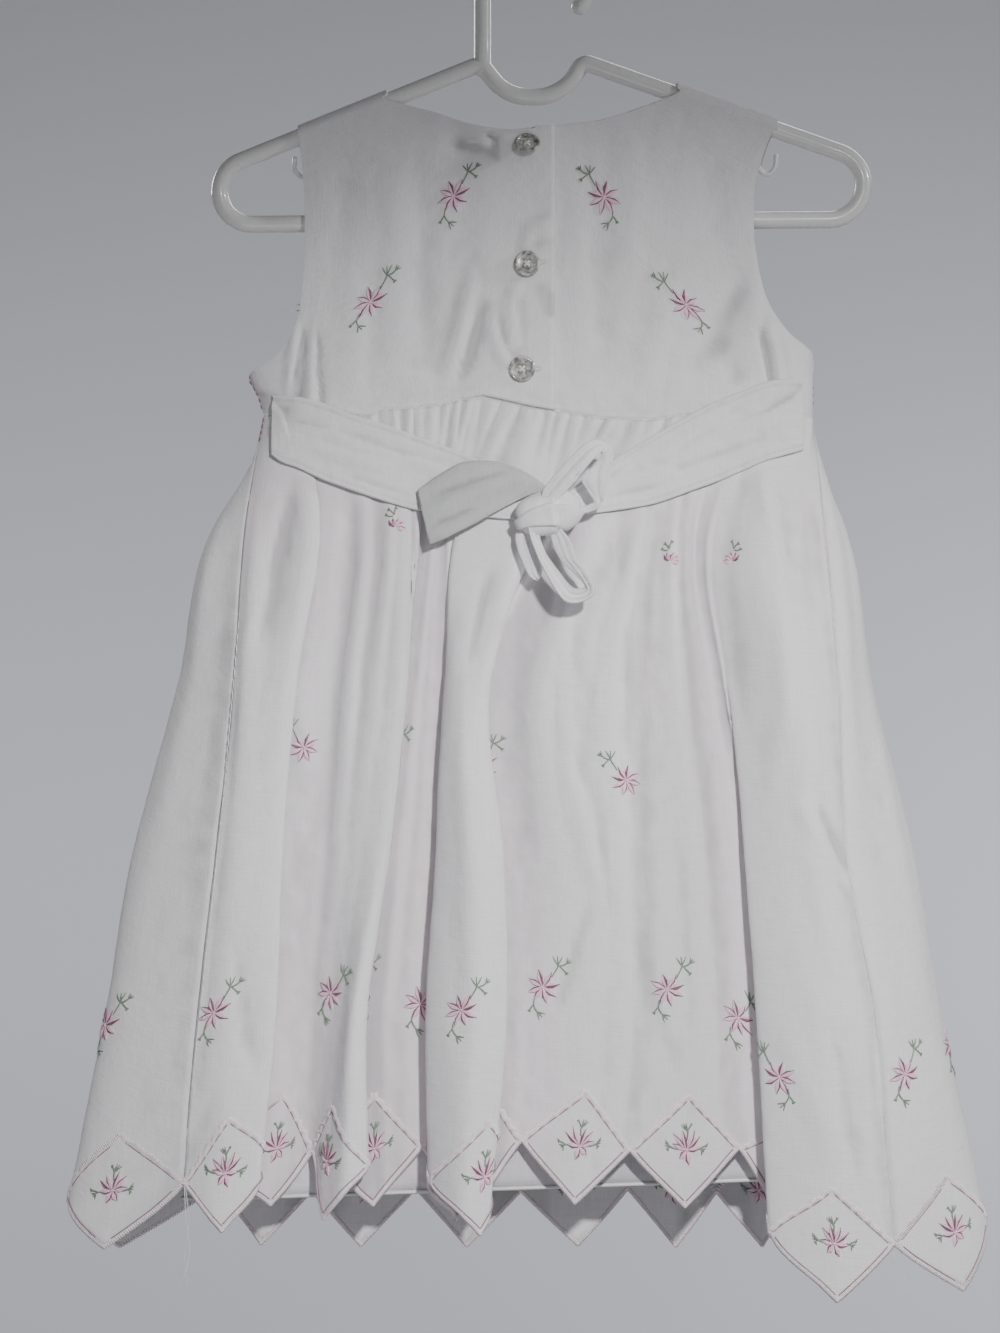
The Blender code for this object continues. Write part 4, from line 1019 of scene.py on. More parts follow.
def lining_cloth(toward, seed):
    """Grid of half of the lining's tube, the back one with toward -1 and the front one with 1."""
    table = np.array(LINING_SECTIONS).T
    drops = np.linspace(LINING_SECTIONS[0][0], LINING_SECTIONS[-1][0], LINING_ROWS)
    wide, back_depth, front_depth = (spline(table[0], table[k], drops) for k in (1, 2, 3))
    theta = np.linspace(0.0, math.pi, LINING_COLUMNS)
    grid = np.zeros((LINING_ROWS, LINING_COLUMNS, 3))
    for k, drop in enumerate(drops):
        x = -wide[k] * np.sign(np.cos(theta)) * np.abs(np.cos(theta)) ** (2.0 / SIDE_POWER)
        y = (back_depth[k] if toward < 0 else front_depth[k]) * np.sin(theta)
        lower = LINING_HEM_SLOPE * x * drop / drops[-1]
        grid[k] = np.stack([x, toward * np.maximum(y, SEAM_END), WAIST_Z - drop - lower], axis=1)
    cloth = Cloth(grid if toward < 0 else grid[:, ::-1])
    sway = ease((WAIST_Z - cloth.grid[..., 2] - 40.0) / 200.0) * ease(np.abs(cloth.grid[..., 1]) / 4.0)
    cloth.push(0.9 * crumple(cloth.grid, 30.0, 4.0, seed) * sway)
    return cloth


lining_back_cloth = lining_cloth(-1.0, 21)
lining_front_cloth = lining_cloth(1.0, 22)
lining_back = solid_cloth("lining_back_cloth", lining_back_cloth, lining_cotton, LINING_CLOTH)
lining_front = solid_cloth("lining_front_cloth", lining_front_cloth, lining_cotton, LINING_CLOTH)

# %% [markdown]
# ## Making the bodice
# The two backs and the front are panels over the same hanging form. The listed creases are what the
# eye reads as worn cotton: folds that run down from the armholes into the sash, the soft pulls round
# each button, and the wide shadow where the right back sinks in above the sash.

# %% Bodice panels
LEFT_BACK_CREASES = (
    (-107.5, -188.0, -111.5, -222.0, 2.6, -2.2),
    (-110.5, -186.0, -114.5, -214.0, 2.4, 1.6),
    (-100.5, -190.0, -99.0, -224.0, 1.8, -1.3),
    (-103.5, -190.0, -104.0, -222.0, 2.2, 1.2),
    (-30.0, -166.0, -39.5, -208.0, 3.2, 1.7),
    (-24.5, -176.0, -33.0, -210.0, 3.4, -1.7),
    (-21.6, -182.0, -12.5, -206.0, 2.4, 1.4),
    (-5.0, -147.0, -3.0, -140.5, 2.2, 1.1),
    (-3.0, -140.5, 7.0, -139.0, 2.2, 1.1),
    (-7.0, -166.0, -11.5, -174.0, 2.4, 1.1),
    (-11.5, -174.0, -11.0, -194.0, 2.6, 1.2),
    (2.0, -166.0, 7.0, -178.0, 2.6, -0.9),
    (-66.0, -112.0, -64.0, -200.0, 7.0, 0.9),
    (-52.0, -120.0, -50.0, -190.0, 6.0, -0.9),
    (-88.0, -112.0, -92.0, -160.0, 7.0, -0.8),
    (-84.0, -160.0, -84.0, -215.0, 7.0, 0.8),
    (-40.0, -100.0, -8.0, -106.0, 5.0, -1.3),
    (-22.5, -94.9, -16.1, -101.8, 1.8, -1.2),
    (-16.1, -101.8, -10.0, -105.5, 1.8, -1.0),
    (-30.0, -98.0, -12.0, -100.0, 2.0, 0.8),
    (-70.0, -205.0, -48.0, -214.0, 5.0, 0.6),
)
RIGHT_BACK_CREASES = (
    (105.0, -188.0, 109.5, -213.0, 2.2, -1.8),
    (109.0, -186.0, 113.0, -210.0, 2.4, 1.4),
    (96.0, -166.0, 76.0, -205.0, 8.0, -1.8),
    (84.0, -190.0, 96.0, -212.0, 7.0, -1.2),
    (104.0, -150.0, 100.0, -185.0, 6.0, 1.0),
    (62.0, -170.0, 52.0, -212.0, 6.0, 0.9),
    (30.0, -140.0, 34.0, -200.0, 8.0, -0.7),
    (46.0, -100.0, 44.0, -160.0, 7.0, 0.7),
    (82.0, -105.0, 84.0, -150.0, 7.0, -0.7),
    (18.0, -120.0, 20.0, -190.0, 6.0, 0.6),
)
FRONT_BODICE_CREASES = (
    (-104.0, -190.0, -108.0, -220.0, 3.0, -1.6),
    (-60.0, -120.0, -58.0, -205.0, 7.0, 0.8),
    (-30.0, -150.0, -34.0, -214.0, 6.0, -0.8),
    (10.0, -160.0, 8.0, -214.0, 6.0, 0.8),
    (44.0, -140.0, 40.0, -200.0, 7.0, -0.8),
    (80.0, -130.0, 84.0, -200.0, 7.0, 0.8),
)


BODICE_RELIEF = ((0.32, 24.0, 2.2), (0.12, 6.0, 1.5))
PUCKER = (0.35, 3.2, 0.6)  # height, size and stretch of the puckers along the waist seam
PUCKER_REACH = 2.6


def bodice_cloth(rows, shoulder, toward, corner, creases, seed, lap=0.0):
    """A bodice panel with its crumple, its creases and its puckered lower edge."""
    grid = bodice_grid(rows, shoulder, toward, corner, lap)[::-1]
    runs_right = (grid[0, -1, 0] - grid[0, 0, 0]) * toward < 0.0
    cloth = Cloth(grid if runs_right else grid[:, ::-1])
    z = cloth.grid[..., 2]
    calm = ease((np.abs(cloth.grid[..., 1]) - 3.0) / 5.0) * ease((z - WAIST_Z) / 6.0 + 0.3)
    crumple_cloth(cloth, BODICE_RELIEF, seed, calm)
    push_creases(cloth, creases, CREASE_STRENGTH)
    edge = np.exp(-(((z - WAIST_Z) / PUCKER_REACH) ** 2)) * ease((np.abs(cloth.grid[..., 1]) - 3.0) / 5.0)
    height, size, stretch = PUCKER
    cloth.push(edge * (height + height * crumple(cloth.grid, size, stretch, seed + 2)))
    return cloth


left_back = bodice_cloth(LEFT_BACK_ROWS, LEFT_SHOULDER, -1.0, BACK_CORNER, LEFT_BACK_CREASES, 31, LAP_LIFT)
right_back = bodice_cloth(RIGHT_BACK_ROWS, RIGHT_SHOULDER, -1.0, BACK_CORNER, RIGHT_BACK_CREASES, 33)
front_left = bodice_cloth(FRONT_LEFT_ROWS, LEFT_SHOULDER, 1.0, FRONT_CORNER, FRONT_BODICE_CREASES, 35)
front_right = bodice_cloth(FRONT_RIGHT_ROWS, RIGHT_SHOULDER, 1.0, FRONT_CORNER, FRONT_BODICE_CREASES, 35)
wave_waist(left_back)
wave_waist(right_back)


BODICE_SIDE_EASE = 4.0  # millimetres
MIDDLE_EASE = 7.0  # columns


def side_edge(half):
    """Which of a half's edges is its side seam: column 0 or the last one."""
    return 0 if abs(half.grid[-1, 0, 0]) > abs(half.grid[-1, -1, 0]) else -1


def close_bodice_side(back_half, front_half):
    """Brings the side edges of a back and a front together from the armhole down to the waist."""
    rows = slice(-(2 * BODICE_STEPS + 1), None)
    sides = [(half, side_edge(half)) for half in (back_half, front_half)]
    middle = sum(half.grid[rows, edge] for half, edge in sides) / 2.0
    for half, edge in sides:
        away = np.abs(half.grid[rows, :, 0] - half.grid[rows, edge, 0][:, None])
        half.pull_edge(rows, edge, middle, away, BODICE_SIDE_EASE)


close_bodice_side(left_back, front_left)
close_bodice_side(right_back, front_right)


LAP_FREE = 4.0
LAP_FADE = 9.0


def keep_lapped(over, under):
    """Keeps the lap outside the underlap wherever they lie on each other, whatever their creases do."""
    x, z = over.grid[..., 0], over.grid[..., 2]
    free = LAP_FREE * (1.0 - ease((x - UNDERLAP_EDGE_X + 11.0) / LAP_FADE))
    over.grid[..., 1] = np.minimum(over.grid[..., 1], free - chest_depth(x, z) - CLOTH - 0.35)
    x, z = under.grid[..., 0], under.grid[..., 2]
    free = LAP_FREE * ease((x - PLACKET_EDGE_X - 2.0) / LAP_FADE)
    under.grid[..., 1] = np.maximum(under.grid[..., 1], -chest_depth(x, z) - 0.25 - free)
    over.measure()
    under.measure()


keep_lapped(left_back, right_back)
bodice_left = solid_cloth("bodice_back_left_cloth", left_back, white_cotton)
bodice_right = solid_cloth("bodice_back_right_cloth", right_back, white_cotton)


def join_middle(left, right):
    """Brings the two halves' middle edges together below the neck."""
    rows = slice(-(FRONT_CORNER * BODICE_STEPS + 1), None)
    halves = [(half, -1 - side_edge(half)) for half in (left, right)]
    middle = sum(half.grid[rows, edge] for half, edge in halves) / 2.0
    middle[:, 0] = 0.0
    for half, edge in halves:
        half.pull_edge(rows, edge, middle, half.columns_from(edge), MIDDLE_EASE)


join_middle(front_left, front_right)


MIDDLE_SLACK = 0.02 * MM


def joined_front():
    """The two halves of the front as one panel, welded down the middle."""
    halves = [
        grid_mesh("front_half", half.grid, white_cotton, cloth_uv(half))
        for half in (front_left, front_right)
    ]
    work = bmesh.new()
    for half in halves:
        work.from_mesh(half)
    middle = [v for v in work.verts if abs(v.co.x) < MIDDLE_SLACK]
    for vert in middle:
        vert.co.x = 0.0
    bmesh.ops.remove_doubles(work, verts=middle, dist=0.05 * MM)
    seam = [e for e in work.edges if e.is_boundary and all(abs(v.co.x) < MIDDLE_SLACK for v in e.verts)]
    upright = [e for e in seam if abs(e.verts[0].co.z - e.verts[1].co.z) > 0.1 * MM]
    assert not upright, f"the front is open down its middle along {len(upright)} edges"
    mesh = halves[0]
    work.to_mesh(mesh)
    work.free()
    bpy.data.meshes.remove(halves[1])
    mesh.shade_smooth()
    return give_wall(add_piece("bodice_front_cloth", mesh), CLOTH)


bodice_front = joined_front()
print("bodice grids:", left_back.grid.shape, right_back.grid.shape)


# %% [markdown]
# ## Making the sash
# Two ties are sewn into the side seams, drawn in at the back and tied. Each lies on the cloth behind
# it, so its depth is looked up on the bodice and the skirt at a few stations. A drawn tie is straight
# between its high points. Its hems are turned and stitched, which shows as a soft line near each edge.

# %% Ties
SASH_WALL = 1.3
GATHER_DEPTH = 0.8
SASH_LIFT = 2.1
SASH_REACH = 3.5
LAP_REACH_X = -35.0
FOLD_SAMPLE = 0.04
SLOPE_STEP = 2.0
STEEPEST = 2.2
PULL_REACH = 32.0
KNOT_CENTRE = (5.5, -32.0, -271.5)
# x, z of the top edge, z of the bottom edge: stations of each tie from its side seam to the knot
SASH_LEFT = (
    (-122.0, -216.0, -244.0),
    (-117.0, -216.5, -247.5),
    (-110.0, -217.2, -250.0),
    (-98.5, -220.0, -255.4),
    (-86.0, -225.0, -260.0),
    (-70.5, -229.8, -265.3),
    (-54.7, -235.7, -269.7),
    (-38.6, -241.6, -272.0),
    (-25.3, -247.6, -272.9),
    (-12.0, -256.0, -274.0),
    (3.0, -266.0, -275.0),
)
SASH_RIGHT = (
    (123.5, -209.5, -241.5),
    (119.0, -209.0, -243.0),
    (112.0, -209.2, -245.0),
    (104.4, -211.0, -247.4),
    (86.0, -218.2, -255.4),
    (73.6, -224.2, -260.0),
    (55.2, -234.7, -266.5),
    (37.7, -245.3, -269.7),
    (24.8, -254.5, -271.5),
    (9.0, -266.0, -274.0),
)
SASH_ACROSS = 4
TIE_ROWS = 30
TIE_COLUMNS = 130
TIE_RELIEF = ((0.30, 15.0, 0.8), (0.10, 5.0, 1.0))


def back_face(x, z):
    """Depth of the outermost cloth of the back at a place, bodice or skirt."""
    drop = WAIST_Z - z
    if drop <= 0.0:
        return float(chest_depth(x, z)) + (LAP_LIFT if LAP_REACH_X < x < PLACKET_EDGE_X else 0.0)
    u = np.arange(SIDE_LEFT_U, SIDE_RIGHT_U, FOLD_SAMPLE)
    xs, ys = skirt_section(u, np.full(len(u), drop))
    near = np.abs(xs - x) < SASH_REACH
    return float(np.max(-ys[near])) + GATHER_DEPTH if near.any() else 0.0


def tie_depth(x, z):
    """Depth of a tie lying on the back, lifted square to the slope of what it lies on."""
    slope = (back_face(x + SLOPE_STEP, z) - back_face(x - SLOPE_STEP, z)) / (2.0 * SLOPE_STEP)
    return back_face(x, z) + SASH_LIFT * min(math.hypot(1.0, slope), STEEPEST)


def refine(grid, rows, columns):
    """The same surface with more rows and columns."""
    across = finer(grid.transpose(2, 0, 1), columns)
    return finer(across.transpose(0, 2, 1), rows).transpose(2, 1, 0)


def tie_cloth(stations, pull):
    rows = []
    for r in range(SASH_ACROSS + 1):
        heights = [top + (bottom - top) * r / SASH_ACROSS for x, top, bottom in stations]
        depths = [tie_depth(x, z) for (x, top, bottom), z in zip(stations, heights)]
        for k in range(2, len(depths) - 1):
            depths[k] = max(depths[k], (depths[k - 1] + depths[k + 1]) / 2.0)
        for k, (x, top, bottom) in enumerate(stations):
            depths[k] += pull * float(ease(1.0 - abs(x - KNOT_CENTRE[0]) / PULL_REACH))
        rows.append([(x, -d, z) for (x, top, bottom), d, z in zip(stations, depths, heights)])
    grid = refine(np.array(rows), TIE_ROWS, TIE_COLUMNS)
    return Cloth(grid if stations[0][0] < 0 else grid[:, ::-1])


def push_step(cloth, line, width, height, reach):
    """Raises the cloth on the left of a line of (x, z) points and lowers it on the right, close by."""
    best = np.full(cloth.grid.shape[:2], 1e9)
    signed = np.zeros_like(best)
    for (x0, z0), (x1, z1) in zip(line[:-1], line[1:]):
        dx, dz = x1 - x0, z1 - z0
        px, pz = cloth.grid[..., 0] - x0, cloth.grid[..., 2] - z0
        run = np.clip((px * dx + pz * dz) / (dx * dx + dz * dz), 0.0, 1.0)
        away = np.hypot(px - run * dx, pz - run * dz)
        turn = np.sign(dx * pz - dz * px)
        closer = away < best
        best = np.where(closer, away, best)
        signed = np.where(closer, away * turn, signed)
    seen = cloth.out[..., 1] < 0.1
    cloth.push(height * np.tanh(signed / width) * np.exp(-((best / reach) ** 2)) * seen)


HEM_LINE_WIDTH = 0.55


def hem_lines(cloth, inset, depth):
    """Presses the stitched line of a turned hem along the long edges of a band."""
    down = cloth.run_down()
    heights = np.zeros_like(down)
    for away in (down, down[-1:] - down):
        heights -= depth * np.exp(-(((away - inset) / HEM_LINE_WIDTH) ** 2))
    cloth.push(heights)


tie_left = tie_cloth(SASH_LEFT, 0.0)
tie_right = tie_cloth(SASH_RIGHT, 4.5)
for tie, seed in ((tie_left, 41), (tie_right, 43)):
    crumple_cloth(tie, TIE_RELIEF, seed)
    hem_lines(tie, 2.3, 0.3)
push_step(tie_left, ((-128.0, -216.5), (-122.0, -219.0), (-117.0, -224.5), (-115.5, -230.0)), 0.7, -0.7, 4.5)
push_step(tie_right, ((125.5, -211.0), (118.0, -218.5), (109.0, -223.5)), 0.7, 0.7, 4.5)
push_creases(tie_left, (
    (-112.0, -228.0, -96.0, -232.0, 1.6, -0.6),
    (-104.0, -240.0, -70.0, -249.0, 2.6, 0.7),
    (-92.0, -232.0, -58.0, -244.0, 2.2, -0.6),
    (-60.0, -245.0, -34.0, -255.0, 2.4, 0.6),
    (-84.0, -254.0, -62.0, -262.0, 1.8, -0.5),
))
push_creases(tie_right, (
    (112.0, -226.0, 92.0, -232.0, 2.0, 0.5),
    (100.0, -238.0, 66.0, -250.0, 2.6, -0.6),
    (84.0, -226.0, 58.0, -244.0, 2.2, 0.6),
    (62.0, -250.0, 38.0, -257.0, 2.2, 0.7),
    (56.0, -258.0, 34.0, -263.0, 1.8, -0.6),
    (40.0, -250.0, 28.0, -258.0, 1.6, -0.5),
))
sash_left = solid_cloth("sash_left_cloth", tie_left, white_cotton, SASH_WALL)
sash_right = solid_cloth("sash_right_cloth", tie_right, white_cotton, SASH_WALL)

# %% [markdown]
# ## Making the bow
# The bow is half undone: one loop stands up to the right, one hangs down, the longer tail lies across
# the left tie and the short one hangs under the knot. Each is a band between two edges that are given
# station by station, so it can turn over as a real tie does. The knot is one wrap of the same cloth
# over the others: a full rounded form with its folds pressed in.

# %% Bow
# both edges (x, y, z) of each band, station by station
LOOP_UPPER = (
    ((4.0, -37.0, -268.0), (10.0, -38.0, -272.0)),
    ((2.9, -38.5, -262.0), (9.0, -39.5, -266.7)),
    ((9.0, -39.8, -253.8), (14.8, -41.0, -260.6)),
    ((16.6, -40.6, -245.6), (21.4, -41.8, -252.7)),
    ((22.4, -40.2, -240.4), (27.0, -41.2, -246.0)),
    ((27.0, -38.8, -238.6), (29.6, -38.8, -244.0)),
    ((31.6, -36.6, -239.9), (29.6, -36.4, -247.0)),
    ((35.0, -35.2, -243.9), (25.0, -34.2, -251.0)),
    ((34.2, -34.6, -251.5), (20.5, -33.4, -256.0)),
    ((32.0, -34.4, -260.5), (23.5, -32.8, -261.5)),
    ((30.2, -33.6, -267.5), (27.0, -32.0, -266.5)),
    ((24.0, -31.0, -271.0), (21.0, -30.0, -269.0)),
    ((15.0, -29.5, -272.0), (14.0, -29.0, -270.0)),
)
LOOP_LOWER = (
    ((-5.0, -36.0, -272.0), (0.0, -34.0, -272.0)),
    ((-3.9, -38.4, -278.3), (0.3, -34.6, -278.3)),
    ((-2.0, -39.4, -285.0), (1.8, -34.4, -284.5)),
    ((0.8, -40.0, -292.2), (4.4, -34.2, -290.6)),
    ((6.0, -40.4, -302.0), (9.3, -34.2, -297.8)),
    ((11.8, -40.6, -311.0), (15.6, -34.6, -305.4)),
    ((17.6, -40.6, -312.8), (19.8, -35.0, -306.6)),
    ((24.6, -40.2, -310.2), (22.6, -35.4, -304.8)),
    ((26.2, -39.8, -305.8), (19.0, -35.4, -300.6)),
    ((23.0, -39.0, -299.0), (13.4, -34.8, -295.2)),
    ((18.4, -38.2, -293.0), (9.6, -34.0, -290.0)),
    ((15.4, -37.4, -284.4), (7.4, -33.6, -284.4)),
    ((10.4, -36.4, -277.6), (6.2, -33.6, -277.6)),
    ((8.0, -35.0, -272.0), (4.0, -33.0, -272.0)),
)
# x, z of the upper and lower edge, and how far the lower edge stands off
TAIL_LEFT = (
    (7.0, -262.5, 7.0, -268.0, 0.0),
    (2.2, -257.6, 2.3, -262.2, 0.3),
    (-6.8, -251.7, -4.4, -263.6, 0.8),
    (-17.1, -248.0, -18.6, -270.9, 1.6),
    (-26.5, -247.2, -26.6, -275.4, 2.2),
    (-35.1, -248.4, -34.0, -279.2, 2.6),
    (-46.0, -254.6, -41.6, -283.0, 2.8),
    (-54.5, -260.7, -48.6, -285.8, 2.2),
)
TAIL_LOW = (
    ((-6.0, -29.6, -275.0), (3.0, -30.2, -275.0)),
    ((-9.4, -30.4, -281.0), (1.2, -31.4, -281.0)),
    ((-8.6, -31.0, -288.0), (1.6, -31.8, -289.0)),
    ((-5.6, -31.2, -295.5), (2.6, -31.8, -296.5)),
    ((-3.6, -31.0, -299.5), (2.0, -31.4, -300.4)),
    ((-0.6, -30.8, -302.3), (1.2, -31.0, -301.8)),
)
TAIL_REST = 3.4
TAIL_REACH = 12.0
BAND_ROWS = 16
BAND_COLUMNS = 90
BAND_WALL = 1.1


def band_cloth(stations, seed, rows=BAND_ROWS, columns=BAND_COLUMNS, swell=0.5):
    """A band of cloth between two edges, its middle swelled a little."""
    grid = refine(np.array(stations, float).transpose(1, 0, 2), rows, columns)
    cloth = Cloth(grid)
    share = np.linspace(-1.0, 1.0, rows)[:, None]
    cloth.push(swell * (1.0 - share**2) + 0.22 * crumple(cloth.grid, 7.0, 1.0, seed))
    hem_lines(cloth, 1.6, 0.22)
    return cloth


def pleat(cloth, share, width, depth):
    """Presses a soft line along a band, at a share of its width."""
    down = cloth.run_down()
    cloth.push(-depth * np.exp(-(((down - share * down[-1:]) / width) ** 2)))


def tail_rest(x, z):
    """Depth at which the stiff tail rests on what stands highest beside it."""
    return max(tie_depth(x + reach, z) for reach in (-TAIL_REACH, 0.0, TAIL_REACH)) + TAIL_REST


loop_upper = band_cloth(LOOP_UPPER, 51)
loop_lower = band_cloth(LOOP_LOWER[::-1], 53)
tail_low = band_cloth(TAIL_LOW[::-1], 55, 12, 40, 0.4)
tail_stations = [
    ((x0, -tail_rest(x0, z0), z0), (x1, -tail_rest(x1, z1) - off, z1))
    for x0, z0, x1, z1, off in TAIL_LEFT[::-1]
]
tail_left = band_cloth(tail_stations, 57, 26, 80, 0.8)
push_creases(tail_left, (
    (-44.0, -262.0, -14.0, -252.0, 2.4, -0.9),
    (-50.0, -270.0, -20.0, -258.0, 2.6, 0.9),
    (-46.0, -276.0, -30.0, -270.0, 2.0, -0.8),
    (-49.0, -281.0, -34.0, -276.5, 1.4, 0.6),
))
for band, share, width, depth in (
    (loop_upper, 0.42, 0.8, 0.55),
    (loop_upper, 0.7, 1.0, -0.3),
    (loop_lower, 0.3, 0.7, 0.6),
    (loop_lower, 0.64, 0.7, 0.55),
    (tail_low, 0.38, 0.8, 0.5),
    (tail_low, 0.7, 0.8, 0.4),
):
    pleat(band, share, width, depth)
push_step(loop_upper, ((30.5, -268.0), (24.6, -262.2), (18.5, -256.0)), 0.5, 0.5, 3.0)
# painted shade: the long tail is a greyer, darker copy of the white cotton, standing for the shade it lies in
shaded_cotton = cotton("painted shade cotton", (0.50, 0.515, 0.505), (0.42, 0.435, 0.425), (0.46, 0.47, 0.46))
bow = [
    solid_cloth("sash_loop_upper_cloth", loop_upper, white_cotton, BAND_WALL),
    solid_cloth("sash_loop_lower_cloth", loop_lower, white_cotton, BAND_WALL),
    solid_cloth("sash_tail_low_cloth", tail_low, white_cotton, BAND_WALL),
    solid_cloth("sash_tail_left_cloth", tail_left, shaded_cotton, BAND_WALL),
]

# %% Knot
KNOT_HALF = (15.5, 9.5, 10.0)
KNOT_LEAN = -12.0
KNOT_FULLNESS = 0.8
KNOT_ROWS = 70
KNOT_COLUMNS = 120
POLE = 0.02
KNOT_WELD = 0.03 * MM
# points (x, z) along the edge of each wrap, how sharp the edge is, how high, and how far it reaches
KNOT_FOLDS = (
    (
        ((-9.0, -274.5), (-3.0, -270.6), (3.0, -268.2), (9.0, -267.4), (16.0, -268.4), (22.0, -270.6)),
        (0.35, -0.95, 3.0),
    ),
    (((8.4, -266.5), (8.2, -272.0), (9.6, -278.5), (13.0, -283.0)), (0.35, -1.0, 3.5)),
    (((-9.0, -279.5), (-1.0, -277.8), (8.0, -277.6), (13.4, -279.8), (17.0, -283.6)), (0.35, 0.85, 2.5)),
)


def knot_cloth():
    """The knot's rounded form, its folds pressed in along the edges of the wraps."""
    theta = np.linspace(POLE, math.pi - POLE, KNOT_ROWS)[:, None]
    phi = np.linspace(-math.pi, math.pi, KNOT_COLUMNS)[None, :]
    round_x, round_y = np.sin(theta) * np.sin(phi), -np.sin(theta) * np.cos(phi)
    ball = np.stack([round_x, round_y, np.cos(theta) + 0 * phi], axis=-1)
    full = np.sign(ball) * np.abs(ball) ** KNOT_FULLNESS * np.array(KNOT_HALF)
    lean = math.radians(KNOT_LEAN)
    x = full[..., 0] * math.cos(lean) + full[..., 2] * math.sin(lean)
    z = -full[..., 0] * math.sin(lean) + full[..., 2] * math.cos(lean)
    cloth = Cloth(np.stack([x, full[..., 1], z], axis=-1) + np.array(KNOT_CENTRE))
    cloth.push(0.25 * crumple(cloth.grid, 8.0, 1.0, 61))
    for line, (width, height, reach) in KNOT_FOLDS:
        push_step(cloth, line, width, height, reach)
    push_creases(cloth, ((-6.0, -273.5, 6.0, -273.5, 0.8, 0.35), (11.5, -269.5, 18.5, -274.5, 0.9, -0.4)))
    return cloth


def turn_outward(mesh, weld=0.0):
    """Turns a mesh's faces outwards, after its doubles are welded and its holes closed if asked."""
    work = bmesh.new()
    work.from_mesh(mesh)
    if weld:
        bmesh.ops.remove_doubles(work, verts=work.verts, dist=weld)
        bmesh.ops.holes_fill(work, edges=[e for e in work.edges if e.is_boundary], sides=0)
    bmesh.ops.recalc_face_normals(work, faces=work.faces)
    work.to_mesh(mesh)
    work.free()


knot = knot_cloth()
knot_mesh = grid_mesh("sash_knot_cloth", knot.grid, white_cotton, cloth_uv(knot))
turn_outward(knot_mesh, KNOT_WELD)
knot_mesh.shade_smooth()
sash_knot = add_piece("sash_knot_cloth", knot_mesh)
print("bow grids:", tie_left.grid.shape, loop_upper.grid.shape, knot.grid.shape)


# %% [markdown]
# ## Threads
# All sewing is real thread here. Each stitch is a short line of points laid on the cloth, with a
# thickness at each point, so it can swell in the middle and dive at its ends. One node tree turns the
# lines of a colour into round threads. Satin stitches lie side by side across a line; the petals are a
# few long stitches fanned from the middle.

# %% The thread tree
THREAD_SIDES = 5
EVEN = (1.0, 1.0)  # the taper of a thread that is equally thick all along


def thread_tree():
    tree = bpy.data.node_groups.new("threads", "GeometryNodeTree")
    for name, way, kind in (
        ("Lines", "INPUT", "Geometry"),
        ("Thickness", "INPUT", "Float"),
        ("Finish", "INPUT", "Material"),
        ("Threads", "OUTPUT", "Geometry"),
    ):
        tree.interface.new_socket(name, in_out=way, socket_type=f"NodeSocket{kind}")
    given = tree.nodes.new("NodeGroupInput").outputs
    width = node(tree, "GeometryNodeInputNamedAttribute", {"data_type": "FLOAT"}, Name="width").outputs[0]
    radius = node(tree, "ShaderNodeMath", {"operation": "MULTIPLY"}, _0=width, _1=given["Thickness"])
    line = node(tree, "GeometryNodeMeshToCurve", Mesh=given["Lines"]).outputs["Curve"]
    circle = {"Resolution": THREAD_SIDES, "Radius": 1.0}
    ring = node(tree, "GeometryNodeCurvePrimitiveCircle", **circle).outputs["Curve"]
    shape = {"Curve": line, "Profile_Curve": ring, "Scale": radius.outputs[0], "Fill_Caps": True}
    solid = node(tree, "GeometryNodeCurveToMesh", **shape).outputs["Mesh"]
    smooth = node(tree, "GeometryNodeSetShadeSmooth", Geometry=solid).outputs["Geometry"]
    dyed = node(tree, "GeometryNodeSetMaterial", Geometry=smooth, Material=given["Finish"])
    tree.links.new(dyed.outputs["Geometry"], tree.nodes.new("NodeGroupOutput").inputs["Threads"])
    return tree


thread_nodes = thread_tree()
sewn = {}


def sew(group, points, radius, taper=(0.55, 1.0, 0.55)):
    """Adds one stitch to a group: points in millimetres, a radius, and its swelling from end to end."""
    lines = sewn.setdefault(group, ([], [], []))
    first = len(lines[0])
    share = np.linspace(0.0, 1.0, len(points))
    lines[0].extend(tuple(float(c) * MM for c in p) for p in points)
    lines[1].extend((first + k, first + k + 1) for k in range(len(points) - 1))
    lines[2].extend((radius * MM * np.interp(share, np.linspace(0, 1, len(taper)), taper)).tolist())


def make_threads(group, finish):
    """Turns a group's stitches into one plain mesh of round threads."""
    points, edges, widths = sewn[group]
    mesh = bpy.data.meshes.new(f"{group}_lines")
    mesh.from_pydata(points, edges, [])
    mesh.attributes.new("width", "FLOAT", "POINT").data.foreach_set("value", widths)
    lines = add_piece(f"{group}_lines", mesh)
    spun = lines.modifiers.new("Spun", "NODES")
    spun.node_group = thread_nodes
    settings = {"Thickness": 1.0, "Finish": finish}
    for item in thread_nodes.interface.items_tree:
        if item.name in settings:
            spun[item.identifier] = settings[item.name]
    solid = baked(lines)
    solid.name = group
    return add_piece(group, solid)
